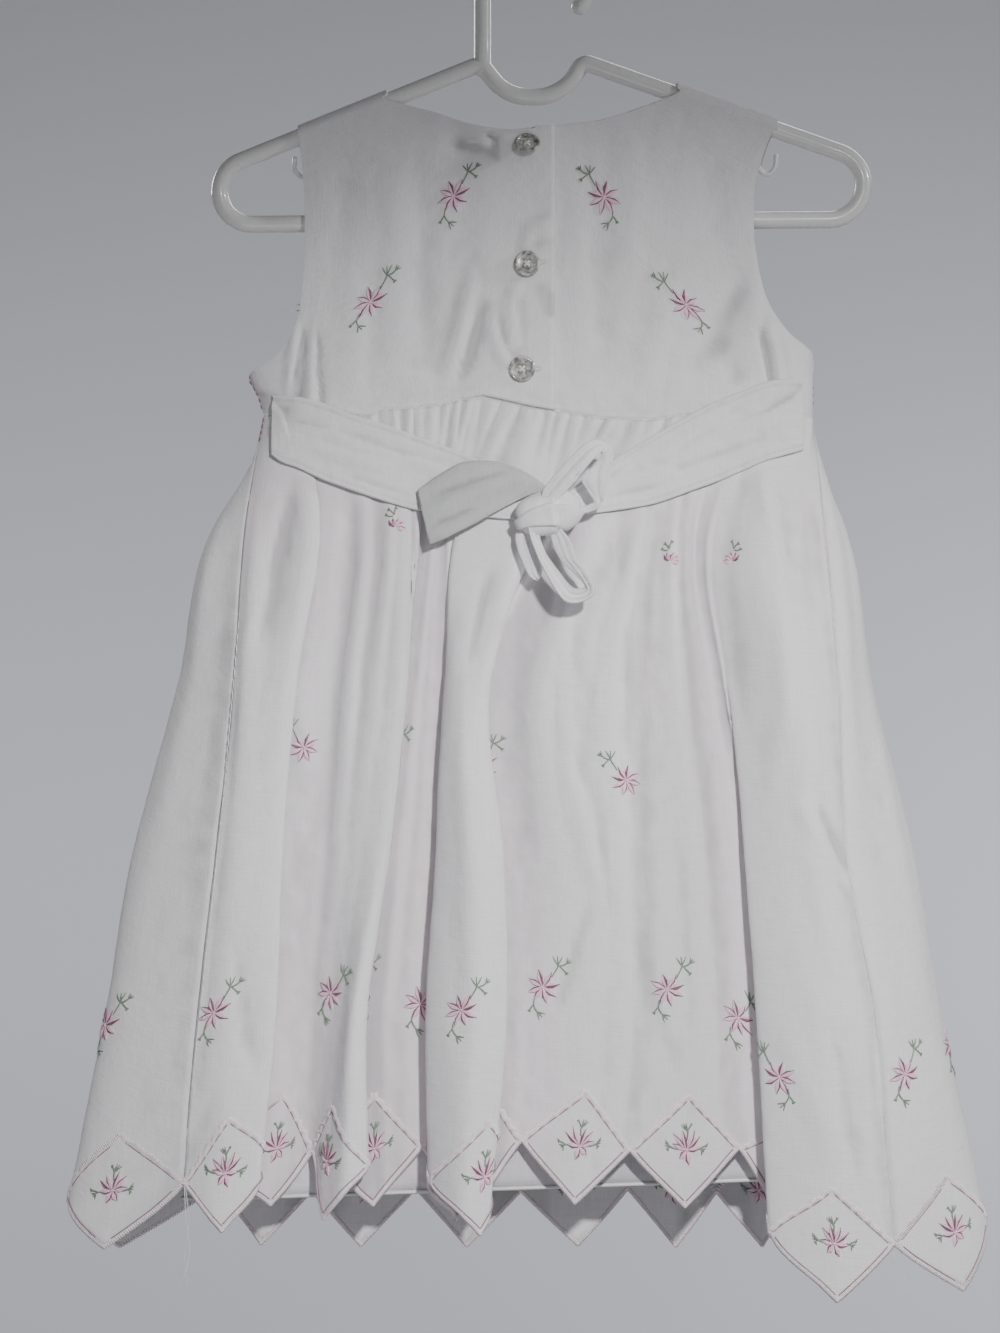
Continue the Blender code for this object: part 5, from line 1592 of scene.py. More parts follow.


# %% [markdown]
# ## Making the embroidery
# Each flower has eight petals of satin stitch, pale pink with a dark stroke down one side that is painted
# shade, and two green sprigs. The petals that point up and to the right, every other one, get a second
# dark stroke of painted shade. They are machine made, so each is nearly the same, but the cloth carries
# them round its folds. The places are given on the cut of the skirt: along the hem in diamonds and down
# from the waist.

# %% Flowers
PETALS = 8
PETAL_LENGTH = 8.1
PETAL_WIDTH = 2.5
STROKE_RADIUS = 0.37
SPRIG_RADIUS = 0.4
BODICE_SPRIGS = (
    ((4.1, 4.9), (6.0, 8.4), (6.8, 10.4), (6.6, 14.8)),
    ((6.9, 10.2), (9.8, 11.0), (12.3, 13.5)),
    ((7.6, 10.2), (9.6, 8.2), (11.1, 6.6)),
    ((-3.7, -4.9), (-4.2, -8.2), (-2.4, -11.4), (0.4, -14.0)),
    ((-4.1, -8.0), (-5.4, -9.6), (-6.4, -11.4)),
)
DIAMOND_SPRIGS = (
    ((0.0, 5.2), (0.2, 7.4), (0.0, 9.2), (-2.2, 11.6)),
    ((0.0, 9.0), (0.9, 10.4), (2.2, 11.6)),
    ((-4.4, -2.2), (-7.8, -3.4), (-12.0, -3.4)),
    ((-8.4, -3.4), (-9.8, -4.6), (-10.6, -6.4)),
    ((4.4, -2.4), (7.6, -4.2), (10.0, -7.4)),
    ((7.4, -4.0), (9.8, -4.4), (12.0, -5.2)),
)
BUD_SPRIGS = (
    ((0.6, 6.0), (1.6, 7.6), (3.4, 8.8)),
    ((0.4, 6.2), (0.2, 8.2), (-0.8, 9.8)),
    ((1.0, 5.4), (3.0, 5.4), (4.6, 6.4)),
)
# the last two bud petals get a second dark stroke of painted shade
BUD_PETALS = (178, 150, 112, 75, 48)  # degrees; the last two are edged darker
BUD_LENGTH = 4.6
PETAL_LIFTS = (0.05, 0.35, 0.42, 0.3, 0.0)
LEAF_TURN = 0.5


def on_cloth(cloth, row, col, mirror, lift, face=1):
    """Gives the point of a motif's own (right, up) millimetres on the cloth, on its outer or inner face."""
    return lambda a, b, extra=0.0: cloth.place(row, col, a * mirror, -b, lift + extra, face)


def petal(group, at, angle, length, dark):
    """One petal: satin strokes side by side that meet at both ends."""
    unit = np.array([math.cos(angle), math.sin(angle)])
    side = np.array([-unit[1], unit[0]])
    for k, off in enumerate((-1.0, -0.33, 0.33, 1.0)):
        off *= PETAL_WIDTH / 2.0 - STROKE_RADIUS
        inner, middle, outer = unit * 0.8 + side * off * 0.3, unit * length * 0.55 + side * off, unit * length
        spots = (inner, (inner + middle) / 2, middle, (middle + outer) / 2, outer)
        line = [at(*spot, lift) for spot, lift in zip(spots, PETAL_LIFTS)]
        # painted shade: the stroke on one side of each petal, and the next one on the darker petals, are sewn
        # in the dark shade thread
        tone = "mauve" if k == 0 or (dark and k == 1) else "pink"
        sew(f"{group}_{tone}", line, STROKE_RADIUS * 1.25)


def sprig(group, at, lines):
    """Green stems, each with a pair of small leaves at its tip."""
    for line in lines:
        path = smooth_path(line, 7)
        sew(f"{group}_green", [at(a, b, 0.15) for a, b in path], SPRIG_RADIUS, (0.8, 1.0, 0.6))
        (a0, b0), (a1, b1) = path[-3], path[-1]
        for turn in (-LEAF_TURN, LEAF_TURN):
            c, s = math.cos(turn), math.sin(turn)
            da, db = (a1 - a0) * 1.1, (b1 - b0) * 1.1
            tip = (a0 + da * c - db * s, b0 + da * s + db * c)
            leaf = [at(a0, b0, 0.15), at((a0 + tip[0]) / 2, (b0 + tip[1]) / 2, 0.35), at(*tip, 0.0)]
            sew(f"{group}_green", leaf, SPRIG_RADIUS * 0.9)


def flower(group, cloth, row, col, sprigs, mirror=1, size=1.0, seed=0, face=1):
    """A whole flower with its sprigs at a place of the cloth."""
    random = np.random.default_rng(seed)
    place = on_cloth(cloth, row, col, mirror, 0.1, face)
    at = lambda a, b, extra=0.0: place(a * size, b * size, extra)
    for k in range(PETALS):
        angle = math.tau * (k + 0.35) / PETALS + random.uniform(-0.09, 0.09)
        # painted shade: every other petal that points up and to the right gets a second dark stroke
        dark = 0.05 < math.cos(angle - 0.6) and k % 2 == 0
        petal(group, at, angle, PETAL_LENGTH * random.uniform(0.9, 1.06), dark)
    for k in range(3):
        angle = random.uniform(0, math.tau)
        c, s = 0.8 * math.cos(angle), 0.8 * math.sin(angle)
        sew(f"{group}_pink", [at(-c, -s, 0.3), at(0, 0, 0.55), at(c, s, 0.3)], STROKE_RADIUS)
    sprig(group, at, sprigs)


def half_flower(group, cloth, row, col, mirror=1, seed=0):
    """A small bud: five petals fanned up, with green sprigs over them."""
    random = np.random.default_rng(seed)
    at = on_cloth(cloth, row, col, mirror, 0.1)
    for degrees in BUD_PETALS:
        angle = math.radians(degrees + random.uniform(-4, 4))
        petal(group, at, angle, BUD_LENGTH, degrees in BUD_PETALS[3:])
    sprig(group, at, BUD_SPRIGS)


# %% Places on the skirt
def skirt_place(u, drop):
    """The panel, row and column at a place u along the cut and a drop below the waist."""
    u = u % PITCHES if u % PITCHES >= SIDE_LEFT_U else u % PITCHES + PITCHES
    cloth, first, steps = back, SIDE_LEFT_U, SKIRT_BACK_STEPS
    if u > SIDE_RIGHT_U:
        cloth, first, steps = front, SIDE_RIGHT_U, SKIRT_FRONT_STEPS
    col = (u - first) * steps
    near = int(round(min(col, cloth.grid.shape[1] - 1)))
    row = float(np.interp(drop, WAIST_Z - cloth.grid[:, near, 2], np.arange(cloth.grid.shape[0])))
    return cloth, row, col


def group_of(cloth):
    return "back_stitches" if cloth is back else "front_stitches"


LOWER_ROW_RISE = 75.0
TURNED_FLOWER = 11
# u, drop, mirror
SCATTERED = (
    (2.45, 154.0, -1),
    (4.25, 158.0, 1),
    (7.6, 162.0, 1),
    (8.95, 169.0, -1),
    (14.5, 160.0, 1),
    (16.5, 166.0, -1),
    (18.5, 158.0, 1),
    (20.5, 165.0, -1),
)
# u, drop
BUDS = (
    (3.6, 53.0),
    (6.9, 60.0),
    (9.5, 68.6),
    (11.1, 68.6),
    (13.4, 60.0),
    (15.2, 66.0),
    (17.4, 58.0),
    (19.6, 67.0),
    (21.8, 60.0),
)
for k in range(PITCHES):
    notch = float(hem_drop(np.array([k + 0.5]))[0])
    cloth, row, col = skirt_place(k + 0.5, notch)
    flower(group_of(cloth), cloth, row, col, DIAMOND_SPRIGS, 1 if k % 2 else -1, 0.96, k)
    if cloth is front:
        flower("front_inside", cloth, row, col, DIAMOND_SPRIGS, 1 if k % 2 else -1, 0.94, k, -1)
    u, drop = k + 0.15 + 0.12 * math.sin(2.3 * k), notch - LOWER_ROW_RISE + 2.0 * math.sin(1.7 * k)
    cloth, row, col = skirt_place(u, drop)
    flower(group_of(cloth), cloth, row, col, BODICE_SPRIGS, -1 if k == TURNED_FLOWER else 1, 1.0, 40 + k)
for k, (u, drop, mirror) in enumerate(SCATTERED):
    cloth, row, col = skirt_place(u, drop)
    flower(group_of(cloth), cloth, row, col, BODICE_SPRIGS[:3], mirror, 0.92, 80 + k)
for k, (u, drop) in enumerate(BUDS):
    cloth, row, col = skirt_place(u, drop)
    half_flower(group_of(cloth), cloth, row, col, 1 if k % 2 else -1, 120 + k)
# panel, x, z, mirror: flowers of the bodice
BODICE_FLOWERS = (
    (left_back, -38.6, -124.3, 1),
    (left_back, -76.4, -173.1, 1),
    (right_back, 31.7, -124.3, -1),
    (right_back, 69.5, -174.9, -1),
    (front_left, -55.0, -165.0, -1),
    (front_right, 55.0, -165.0, 1),
)
for k, (cloth, x, z, mirror) in enumerate(BODICE_FLOWERS):
    row, col = cloth.find(x, z)
    flower("bodice_stitches", cloth, row, col, BODICE_SPRIGS, mirror, 1.0, 160 + k)

# %% [markdown]
# ## Making the cut hem
# Each diamond is a square of cloth on its point, outlined in satin cord. Along the lower sides the cord
# runs over the cut edge itself and holds it; along the upper sides it lies on the cloth. A thin dark
# line just inside the cord is a painted shadow of it.

# %% Diamond cords
DIAMOND_RISE = 25.5
SATIN_STEP_BACK = 0.6
SATIN_STEP_FRONT = 0.85
CORD_HALF = 1.25
CORD_RADIUS = 0.44
EDGE_INSET = 1.5
CORD_HEIGHT = 0.5
WANDER_LONG = 0.38  # millimetres that the upper cord strays, in long waves and in short ones
WANDER_SHORT = 0.16
CORD_SHADOW_INSET = 2.0
UPPER_CORD_SHADOW_INSET = -1.4
SIDE_LENGTH = 37.0  # millimetres along a side of a diamond
TINY = 1e-6


def diamond_sides(u):
    """The four sides of the diamond at u to u + 1, each from one corner (u, drop) to the next."""
    left, right = (float(hem_drop(np.array([v]))[0]) for v in (u, u + 1.0))
    middle = float(hem_drop(np.array([u + 0.5]))[0])
    top, low = (u + 0.5, middle - DIAMOND_RISE), (u + 0.5, middle + DIAMOND_DROP)
    start, end = (u, left), (u + 1.0, right)
    return ((start, top, False), (top, end, False), (start, low, True), (low, end, True))


def side_points(cloth, first, steps, start, end, at_edge, step):
    """Rows and columns along a side of a diamond, evenly spaced."""
    (u0, d0), (u1, d1) = start, end
    count = max(6, int(SIDE_LENGTH / step))
    places = []
    for share in (np.arange(count) + 0.5) / count:
        u = u0 + (u1 - u0) * share
        col = (u - first) * steps
        col = min(max(col, 0.2), cloth.grid.shape[1] - 1.2)
        if at_edge:
            row = cloth.grid.shape[0] - 1.0
        else:
            j = int(col)
            g = col - j
            z = WAIST_Z - cloth.grid[:, j, 2] * (1 - g) - cloth.grid[:, j + 1, 2] * g
            row = float(np.interp(d0 + (d1 - d0) * share, z, np.arange(len(z))))
        places.append((row, col))
    return places


def across_line(spots, k, out):
    """The direction on the cloth that crosses a line of spots at one of them, and points up."""
    along = spots[min(k + 1, len(spots) - 1)] - spots[max(k - 1, 0)]
    across = np.cross(out, along / max(np.linalg.norm(along), TINY))
    return -across if across[2] < 0 else across


def satin(group, cloth, places, over_edge, face=1):
    """Lays short stitches across a line of places, over the cut edge or on the cloth."""
    half = CLOTH / 2.0
    spots = [cloth.read(cloth.grid, r, c) for r, c in places]
    for k, (row, col) in enumerate(places):
        here = spots[k]
        out = cloth.read(cloth.out, row, col)
        across = across_line(spots, k, out)
        across = across / max(np.linalg.norm(across), TINY)
        if over_edge:
            line = [
                here + across * EDGE_INSET + out * (half + 0.02),
                here + across * 0.6 + out * (half + 0.22),
                here - across * 0.35,
                here + across * 0.6 - out * (half + 0.22),
                here + across * EDGE_INSET - out * (half + 0.02),
            ]
            sew(f"{group}_edge", line, CORD_RADIUS, (0.6, 1.0, 1.0, 1.0, 0.6))
        else:
            here = here + across * (WANDER_LONG * math.sin(0.42 * k + col) + WANDER_SHORT * math.sin(1.1 * k))
            rise = out * face
            line = [
                here - across * CORD_HALF + rise * half,
                here + rise * (half + CORD_HEIGHT),
                here + across * CORD_HALF + rise * half,
            ]
            sew(f"{group}_edge", line, CORD_RADIUS, (0.7, 1.0, 0.7))


def cord_shadow_line(group, cloth, places, inset):
    """A thin dark line of stitches beside a cord, a painted shadow."""
    spots = [cloth.read(cloth.grid, r, c) for r, c in places]
    line = []
    for k, (row, col) in enumerate(places):
        out = cloth.read(cloth.out, row, col)
        line.append(spots[k] + across_line(spots, k, out) * inset + out * (CLOTH / 2.0 + 0.1))
    sew(f"{group}_line", line[1:-1], 0.3, EVEN)


for cloth, first, steps, cells, step in (
    (back, SIDE_LEFT_U, SKIRT_BACK_STEPS, range(1, 12), SATIN_STEP_BACK),
    (front, SIDE_RIGHT_U, SKIRT_FRONT_STEPS, range(12, 23), SATIN_STEP_FRONT),
):
    for cell in cells:
        for start, end, at_edge in diamond_sides(float(cell)):
            places = side_points(cloth, first, steps, start, end, at_edge, step)
            satin(group_of(cloth), cloth, places, at_edge)
            # painted shadow: a thin dark line just inside the cord
            cord_shadow_line(group_of(cloth), cloth, places[::4], CORD_SHADOW_INSET if at_edge else UPPER_CORD_SHADOW_INSET)
            if cloth is front and not at_edge:
                satin("front_inside", cloth, places[::2], False, -1)
print({name: len(lines[0]) for name, lines in sewn.items()})

# %% Seams and loose ends
SEAM_RADIUS = 0.35
SEAM_LIFT = 0.75
WAIST_ROLL = 0.62
HEM_ROLL = 0.95
LOOSE_RADIUS = 0.2
LOOSE_POINTS = 16


def along_column(cloth, col, z_from, z_to, lift, count):
    """Points down a column of a panel between two heights."""
    column = cloth.grid[:, col]
    rows = np.interp(-np.linspace(z_from, z_to, count), -column[:, 2], np.arange(len(column)))
    return [cloth.read(cloth.grid, r, col) + cloth.read(cloth.out, r, col) * lift for r in rows]


def running_stitches(group, path, stitch, gap, radius):
    """Cuts a path into short stitches with gaps between them."""
    path = np.array(path, float)
    run = np.concatenate([[0.0], np.cumsum(np.linalg.norm(np.diff(path, axis=0), axis=1))])
    at = 0.0
    while at + stitch < run[-1]:
        sew(group, points_between([at, at + stitch / 2, at + stitch], run, path), radius, (0.4, 1.0, 0.4))
        at += stitch + gap


# the maroon thread of the side seams: panel, column, z from, z to, points, stitch, gap, radius
MAROON_SEAMS = (
    (left_back, 0, -206.0, -224.5, 30, 2.6, 0.5, SEAM_RADIUS),
    (back, 1, -226.0, -240.0, 20, 2.6, 0.5, SEAM_RADIUS),
    (right_back, 99, -208.0, -222.0, 16, 1.2, 2.4, 0.2),
)
for cloth, column, z_from, z_to, count, stitch, gap, radius in MAROON_SEAMS:
    path = along_column(cloth, column, z_from, z_to, SEAM_LIFT, count)
    running_stitches("seams_maroon", path, stitch, gap, radius)
# the rolled, puckered seam that holds the gathers to the bodice
for panel, seed in ((back, 71), (front, 73)):
    pucker = np.random.default_rng(seed).uniform(-0.22, 0.22, panel.grid.shape[1])
    roll = panel.grid[0] + panel.out[1] * (0.3 + pucker[:, None])
    sew("waist_white", roll[1:-1], WAIST_ROLL, EVEN)
for line in SIDE_SEAMS:
    spots = [back.find(x, z) for x, z in [row[:2] for row in line] + [line[-1][2:4]]]
    path = smooth_path([back.read(back.grid, r, c) + back.read(back.out, r, c) * 0.5 for r, c in spots], 60)
    running_stitches("waist_white", path, 5.0, 0.4, 0.3)
# white topstitching along the hems of both ties
for tie in (tie_left, tie_right):
    columns = np.arange(4, TIE_COLUMNS - 12, 2)
    for row in (2, TIE_ROWS - 3):
        path = tie.grid[row, columns] + tie.out[row, columns] * (SASH_WALL / 2.0 + 0.05)
        running_stitches("sash_white", path, 1.7, 0.9, 0.16)
# turned hem of the lining, with its stitches
for cloth in (lining_back_cloth, lining_front_cloth):
    hem = cloth.grid[-1] + cloth.out[-1] * 0.3
    sew("lining_white", hem[1:-1], HEM_ROLL, EVEN)
    stitched = cloth.grid[-4] + cloth.out[-4] * (LINING_CLOTH / 2.0 + 0.1)
    running_stitches("lining_white", stitched[2:-2], 2.0, 1.0, 0.18)
# loose ends: three at the hem, and a small loop at the left armhole
LOOSE_ENDS = (
    (
        (-161.0, -30.6, -578.0),
        (-160.2, -31.4, -592.0),
        (-158.4, -32.2, -607.0),
        (-160.0, -33.0, -618.0),
        (-163.6, -33.0, -625.0),
    ),
    ((-160.4, -30.8, -579.0), (-158.8, -31.6, -596.0), (-160.6, -32.8, -611.0), (-159.4, -34.0, -624.5)),
    ((160.6, -37.4, -604.6), (163.4, -38.2, -611.0), (167.2, -38.8, -619.0), (170.6, -39.0, -629.0)),
)
ARMHOLE_LOOP = (
    (-108.4, -6.0, -173.5),
    (-112.4, -7.0, -175.0),
    (-116.0, -7.2, -176.8),
    (-112.0, -6.6, -177.0),
    (-108.2, -6.0, -176.4),
)
for line in LOOSE_ENDS:
    sew("loose_white", smooth_path(line, LOOSE_POINTS), LOOSE_RADIUS, (1.0, 0.8, 0.5))
sew("loose_white", smooth_path(ARMHOLE_LOOP, LOOSE_POINTS), 0.28, EVEN)

# %% [markdown]
# ## Making the buttons
# Three pearly four-hole buttons: a turned disc with a raised rim and a dished middle, sewn on with a
# cross of white thread. The lower two lie over a buttonhole that is bound in white satin stitch, and the
# top one is tipped up by the folded corner of the neck.

# %% Buttons
BUTTON_PROFILE = (
    (0.0, 0.0),
    (3.6, 0.0),
    (4.8, 0.15),
    (5.6, 0.55),
    (5.95, 1.1),
    (6.0, 1.5),
    (5.8, 1.95),
    (5.4, 2.2),
    (4.95, 2.2),
    (4.6, 1.95),
    (4.3, 1.62),
    (3.2, 1.5),
    (0.0, 1.45),
)
BUTTON_SIDES = 56
HOLE_RADIUS = 0.62
HOLE_SPREAD = 1.35
HOLE_SIDES = 20
DRILL_LENGTH = 6.0
CROSS_THREADS = 4
CROSS_STEP = 0.16
CROSS_HEIGHT = 1.72
HOLE_DEPTH = 0.9
BUTTONHOLE_HALF = 7.6
BUTTONHOLE_WIDE = 1.3
BINDING_STEP = 0.42
# name, x, z, lean
BUTTONS = (
    ("button_top", -4.1, -101.3, 38.0),
    ("button_middle", -4.1, -156.1, 4.0),
    ("button_low", -6.4, -204.4, -3.0),
)


def button_place(x, z, lean):
    """Where a button lies, its rim just clear of the cloth."""
    turn = Matrix.Rotation(math.radians(90.0 - lean), 4, "X")
    depths = []
    for radius, height in BUTTON_PROFILE:
        for angle in np.linspace(0.0, math.tau, 20, endpoint=False):
            rim = turn @ Vector((radius * math.cos(angle), radius * math.sin(angle), height))
            depths.append(float(chest_depth(x + rim.x, z + rim.z)) + rim.y)
    depth = max(depths) + LAP_LIFT + CLOTH / 2.0 + SEAM_GAP
    return Matrix.Translation(Vector((x, -depth, z))) @ turn


def hard_piece(name, mesh, finish, sharp_from):
    """A smooth shaded piece whose edges stay sharp where they turn more than an angle in degrees."""
    mesh.materials.clear()
    mesh.materials.append(finish)
    mesh.shade_smooth()
    mesh.set_sharp_from_angle(angle=math.radians(sharp_from))
    mesh.name = name
    return add_piece(name, mesh)


def button_piece(name, place):
    """A turned disc with four drilled holes, with its place worked into its points."""
    mesh = bpy.data.meshes.new(name)
    verts = [(r * MM, 0.0, h * MM) for r, h in BUTTON_PROFILE]
    mesh.from_pydata(verts, [(k, k + 1) for k in range(len(verts) - 1)], [])
    disc = add_piece(name, mesh)
    turned = disc.modifiers.new("Turned", "SCREW")
    turned.angle = math.tau
    turned.steps = BUTTON_SIDES
    turned.render_steps = BUTTON_SIDES
    turned.use_merge_vertices = True
    turned.merge_threshold = 0.00001
    rods = bpy.data.meshes.new("holes")
    work = bmesh.new()
    for sx in (-1, 1):
        for sy in (-1, 1):
            spot = Matrix.Translation(Vector((sx, sy, 0.0)) * HOLE_SPREAD * MM)
            size = {"radius1": HOLE_RADIUS * MM, "radius2": HOLE_RADIUS * MM, "depth": DRILL_LENGTH * MM}
            bmesh.ops.create_cone(work, cap_ends=True, segments=HOLE_SIDES, matrix=spot, **size)
    work.to_mesh(rods)
    work.free()
    drill = add_piece("holes", rods)
    drilled = disc.modifiers.new("Drilled", "BOOLEAN")
    drilled.operation = "DIFFERENCE"
    drilled.object = drill
    made = baked(disc, [drill])
    placed = place.copy()
    placed.translation = place.translation * MM
    made.transform(placed)
    return hard_piece(name, made, pearl, 40)


def sew_button(place):
    """Crossed threads through the four holes, and the shank under the button."""
    for k in range(CROSS_THREADS):
        shift = CROSS_STEP * (k - (CROSS_THREADS - 1) / 2)
        for turn in (1, -1):
            high = CROSS_HEIGHT + 0.12 * turn
            line = []
            heights = (HOLE_DEPTH, high, high, high, HOLE_DEPTH)
            for share, height in zip((-1.0, -0.8, 0.0, 0.8, 1.0), heights):
                spot = Vector((HOLE_SPREAD * share + shift, (HOLE_SPREAD * share - shift) * turn, height))
                line.append(place @ spot)
            sew("buttons_white", line, 0.2, EVEN)
    x, z = place.translation.x, place.translation.z
    shank = [place @ Vector((0.0, 0.0, 0.2)), (x, -float(chest_depth(x, z)) - LAP_LIFT, z)]
    sew("buttons_white", shank, 0.8, EVEN)


def bind_buttonhole(x, z):
    """Satin stitches round a level slit in the upper back."""
    row, col = left_back.find(x, z)
    at = on_cloth(left_back, row, col, 1, 0.0)
    half, wide = BUTTONHOLE_HALF, BUTTONHOLE_WIDE
    for a in np.arange(-half, half + 0.01, BINDING_STEP):
        for side in (-1, 1):
            stitch = [at(a, side * 0.15, 0.05), at(a, side * wide * 0.6, 0.3), at(a, side * wide, 0.0)]
            sew("buttons_white", stitch, 0.22)
    for angle in np.linspace(-math.pi / 2, math.pi / 2, 7):
        for side in (-1, 1):
            c, s = side * math.cos(angle), math.sin(angle)
            sew("buttons_white", [at(side * half, 0, 0.1), at(side * half + c * wide, s * wide, 0.05)], 0.24)


buttons = {}
for name, x, z, lean in BUTTONS:
    place = button_place(x, z, lean)
    buttons[name] = button_piece(f"{name}_pearl", place)
    sew_button(place)
    if name != "button_top":
        bind_buttonhole(x, z)

# %% [markdown]
# ## Making the hanger
# A child's hanger is blow moulded in one piece: a round tube bent into a loop with a dip for the neck,
# a hook that grows out of the left peak, and a small strap hook under each arm.

# %% Hanger
TUBE_RADIUS = 4.0
TUBE_SIDES = 28
HOOK_RADIUS = 24.8
HOOK_END_ANGLE = -35.0
STEM_FOOT_Z = -64.0
STEM_TOP_Z = -50.0
STRAP_HOOK_RADIUS = 1.15
STRAP_HOOKS = (
    (
        (-97.0, -92.5),
        (-100.5, -104.0),
        (-104.0, -112.0),
        (-108.6, -114.2),
        (-112.0, -110.5),
        (-112.0, -105.5),
    ),
    ((100.5, -90.5), (101.7, -104.0), (104.4, -111.0), (108.1, -112.8), (111.3, -109.6), (111.8, -104.5)),
)
STRAP_HOOK_SIDES = 16
STRAP_HOOK_POINTS = 26
HOOK_POINTS = 50
HOOK_SHARE = 0.985  # the hook is this much thinner than the loop, so their skins don't coincide
BEND_STEP = math.radians(6.0)
CAP_ANGLES = (0.35, 0.7, 1.1, 1.45)


def rounded_loop(corners):
    """Points of a closed outline in X and Z whose corners are arcs."""
    points = []
    for k, (name, x, z, radius) in enumerate(corners):
        here = Vector((x, z))
        before = (Vector(corners[k - 1][1:3]) - here).normalized()
        ahead = (Vector(corners[(k + 1) % len(corners)][1:3]) - here).normalized()
        half = before.angle(ahead) / 2.0
        centre = here + (before + ahead).normalized() * (radius / math.sin(half))
        start = here + before * (radius / math.tan(half)) - centre
        end = here + ahead * (radius / math.tan(half)) - centre
        sweep = start.angle_signed(end)
        steps = max(4, math.ceil(abs(sweep) / BEND_STEP))
        points += [centre + Matrix.Rotation(-sweep * s / steps, 2) @ start for s in range(steps + 1)]
    return [(p.x, 0.0, p.y) for p in points]


def round_end(ring, way):
    """Smaller and smaller rings past the end of a rod, which round it off."""
    here, along, side, up, radius = ring
    past = [(along * way * radius * math.sin(a), radius * math.cos(a)) for a in CAP_ANGLES]
    return [(here + step, along, side, up, smaller) for step, smaller in past]


def tube(name, points, radius, cyclic=False, sides=TUBE_SIDES):
    """A round rod along points in millimetres; an open one has rounded ends."""
    path = [Vector(p) for p in points]
    count = len(path)
    rings = []
    for k, here in enumerate(path):
        before = path[k - 1] if cyclic or k else here
        after = path[(k + 1) % count] if cyclic or k < count - 1 else here
        along = (after - before).normalized()
        side = Vector((0.0, 1.0, 0.0))
        rings.append((here, along, side, along.cross(side).normalized(), radius))
    if not cyclic:
        rings = round_end(rings[0], -1)[::-1] + rings + round_end(rings[-1], 1)
    verts = []
    for here, along, side, up, r in rings:
        for a in np.linspace(0, math.tau, sides, endpoint=False):
            verts.append((here + side * r * math.cos(a) + up * r * math.sin(a)) * MM)
    faces = []
    count = len(rings)
    for k in range(count if cyclic else count - 1):
        for j in range(sides):
            a, b = k * sides, ((k + 1) % count) * sides
            faces.append((a + j, a + (j + 1) % sides, b + (j + 1) % sides, b + j))
    if not cyclic:
        faces += [tuple(range(sides))[::-1], tuple((count - 1) * sides + j for j in range(sides))]
    mesh = bpy.data.meshes.new(name)
    mesh.from_pydata(verts, [], faces)
    turn_outward(mesh)
    return add_piece(name, mesh)


def hanger_piece():
    loop = tube("hanger_plastic", rounded_loop(HANGER_CORNERS), TUBE_RADIUS, cyclic=True)
    top = TUBE_RADIUS - HOOK_RADIUS
    arc = [
        (HOOK_RADIUS * math.cos(a), 0.0, top + HOOK_RADIUS * math.sin(a))
        for a in np.radians(np.linspace(180.0, HOOK_END_ANGLE, HOOK_POINTS))
    ]
    stem = [(-HOOK_RADIUS, 0.0, z) for z in (STEM_FOOT_Z, STEM_TOP_Z)]
    others = [tube("hook", stem + arc, TUBE_RADIUS * HOOK_SHARE)]
    for line in STRAP_HOOKS:
        path = [(x, 0.0, z) for x, z in smooth_path(line, STRAP_HOOK_POINTS)]
        others.append(tube("strap_hook", path, STRAP_HOOK_RADIUS, sides=STRAP_HOOK_SIDES))
    for other in others:
        joined = loop.modifiers.new("Moulded with", "BOOLEAN")
        joined.operation = "UNION"
        joined.solver = "EXACT"
        joined.object = other
    return hard_piece("hanger_plastic", baked(loop, others), white_plastic, 55)


hanger = hanger_piece()
print("hanger faces:", len(hanger.data.polygons), "button faces:", len(buttons["button_top"].data.polygons))

# %% Thread pieces
COLOURS = {
    "pink": pink_thread,
    "mauve": petal_shade_thread,
    "green": green_thread,
    "edge": edge_thread,
    "line": shadow_thread,
    "white": white_thread,
    "maroon": maroon_thread,
}


def colour_of(group):
    """The thread of a group, by the last word of its name."""
    return COLOURS[group.rsplit("_", 1)[-1]]


sewing = [make_threads(group, colour_of(group)) for group in sorted(sewn)]
print({piece.name: len(piece.data.polygons) for piece in sewing})

# %% [markdown]
# ## What each piece stands for
# Every piece hangs with the dress on the hanger, so all of them ride on the one body of the frame. A
# panel takes its solid's place.

# %% Bodies and solids
PIECES = {
    skirt_back: "skirt_back",
    skirt_front: "skirt_front",
    lining_back: "lining_back",
    lining_front: "lining_front",
    bodice_left: "bodice_back_left",
    bodice_right: "bodice_back_right",
    bodice_front: "bodice_front",
    sash_left: "sash_left",
    sash_right: "sash_right",
    bow[0]: "sash_loop_upper",
    bow[1]: "sash_loop_lower",
    bow[2]: "sash_tail_low",
    bow[3]: "sash_tail_left",
    sash_knot: "sash_knot",
    buttons["button_top"]: "button_top",
    buttons["button_middle"]: "button_middle",
    buttons["button_low"]: "button_low",
    hanger: "hanger",
}
for piece, solid in PIECES.items():
    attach(piece, "root")
    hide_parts(solid)
for piece in sewing:
    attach(piece, "root")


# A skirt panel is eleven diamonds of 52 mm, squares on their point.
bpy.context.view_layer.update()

# %% [markdown]
# ## The view
# The dress hangs in front of a pale wall, high over a pale floor. A soft spot from above lights its
# middle most, and a weaker lamp rakes across from the right.

# %% Camera
VIEW_FROM = (-0.0166, -1.82, -0.3417)
view = bpy.data.cameras.new("view")
view.sensor_width = 36.0
view.lens = 105.7
camera = bpy.data.objects.new("view", view)
bpy.context.scene.collection.objects.link(camera)
camera.location = VIEW_FROM
camera.rotation_euler = (math.radians(90.0), 0.0, 0.0)
bpy.context.scene.camera = camera

# %% Backdrop
FLOOR_Z = -3.2
WALL_Y = 6.0
WALL_TOP = 7.0
SWEEP = 1.8
BACKDROP_HALF = 10.0


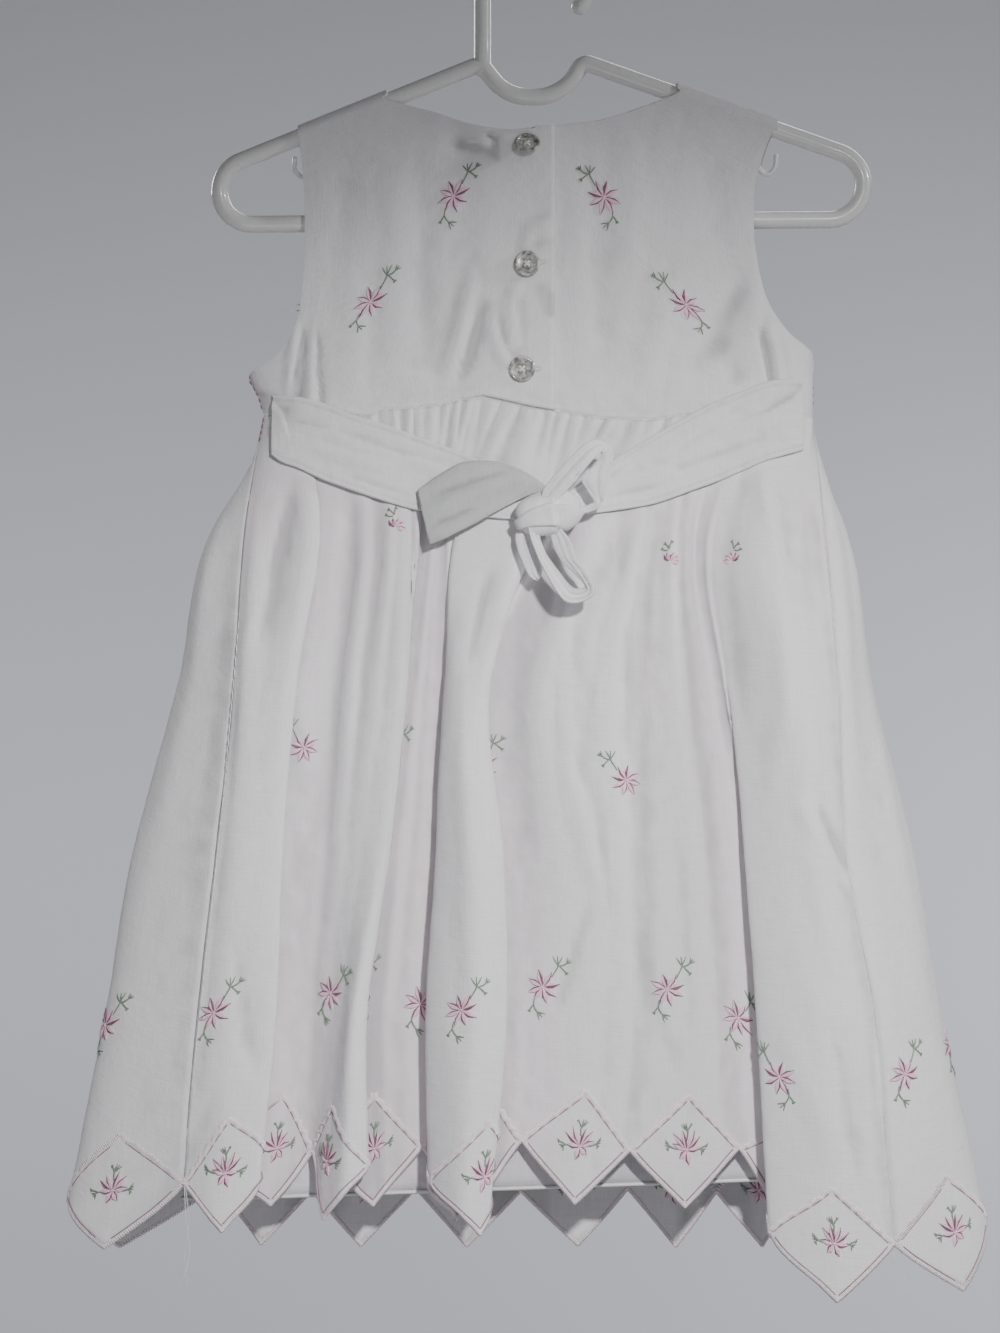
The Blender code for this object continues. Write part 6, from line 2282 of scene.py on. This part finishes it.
def backdrop():
    """A pale floor swept up into a pale wall, both far enough away that a view from any side is clear."""
    turns = np.radians(np.linspace(0.0, 90.0, 24))
    arc = [(WALL_Y - SWEEP + SWEEP * math.sin(a), FLOOR_Z + SWEEP - SWEEP * math.cos(a)) for a in turns]
    profile = [(-BACKDROP_HALF, FLOOR_Z), *arc, (WALL_Y, WALL_TOP)]
    verts = [(x, y, z) for y, z in profile for x in (-BACKDROP_HALF, BACKDROP_HALF)]
    mesh = bpy.data.meshes.new("backdrop")
    mesh.from_pydata(verts, [], [(k, k + 1, k + 3, k + 2) for k in range(0, len(verts) - 2, 2)])
    paint, tree, surface = finish_base("wall paint", (0.50, 0.50, 0.53), 0.9)
    place = node(tree, "ShaderNodeTexCoord").outputs["Object"]
    raised(tree, surface, (0.2, 0.002, noise_at(tree, place, 40.0, 4.0)))
    mesh.materials.append(paint)
    mesh.shade_smooth()
    return add_piece("backdrop", mesh)


backdrop()

# %% Lights
SPOT_SIZE = 0.04
ROOM_COLOUR = (0.85, 0.86, 0.90)
ROOM_STRENGTH = 0.12
# name, kind, place, aim, size (a spot's cone in degrees), power, colour
LIGHTS = (
    ("key", "SPOT", (0.26, -1.08, 0.04), (0.01, 0.0, -0.52), 44.0, 64.0, (1.0, 0.99, 0.99)),
    ("low fill", "AREA", (-0.2, -1.4, -0.9), (0.0, 0.0, -0.5), 0.6, 2.6, (1.0, 0.99, 1.0)),
    ("rake", "AREA", (1.6, -0.42, 0.42), (0.0, 0.0, -0.36), 0.16, 10.0, (0.98, 0.99, 1.0)),
    ("front fill", "AREA", (-0.7, -2.2, 0.6), (0.0, 0.0, -0.35), 0.9, 1.2, (0.97, 0.97, 1.0)),
    ("back fill", "AREA", (0.8, 1.9, 0.9), (0.0, 0.0, -0.35), 1.4, 22.0, (1.0, 1.0, 1.0)),
    ("back side", "AREA", (-1.3, 1.3, 0.3), (0.0, 0.0, -0.35), 0.6, 14.0, (1.0, 1.0, 1.0)),
    ("floor wash", "AREA", (0.0, -1.0, -1.3), (0.0, -1.0, -3.2), 3.0, 70.0, (1.0, 1.0, 1.0)),
    ("wash right", "AREA", (1.55, 4.0, -0.9), (0.5, 6.0, -0.8), 1.0, 55.0, (0.97, 0.98, 1.0)),
    ("wash left", "AREA", (-1.55, 4.0, -0.8), (-0.6, 6.0, -0.7), 1.0, 31.0, (0.97, 0.98, 1.0)),
)
for name, kind, place, aim, size, power, colour in LIGHTS:
    light = bpy.data.lights.new(name, kind)
    if kind == "SPOT":
        light.spot_size = math.radians(size)
        light.spot_blend = 1.0
        light.shadow_soft_size = SPOT_SIZE
    else:
        light.size = size
    light.energy = power
    light.color = colour
    lamp = bpy.data.objects.new(name, light)
    bpy.context.scene.collection.objects.link(lamp)
    lamp.location = place
    lamp.visible_camera = False
    lamp.rotation_euler = (Vector(aim) - Vector(place)).to_track_quat("-Z", "Y").to_euler()
world = bpy.data.worlds.new("room")
world.use_nodes = True
world.node_tree.nodes["Background"].inputs["Color"].default_value = opaque(ROOM_COLOUR)
world.node_tree.nodes["Background"].inputs["Strength"].default_value = ROOM_STRENGTH
bpy.context.scene.world = world
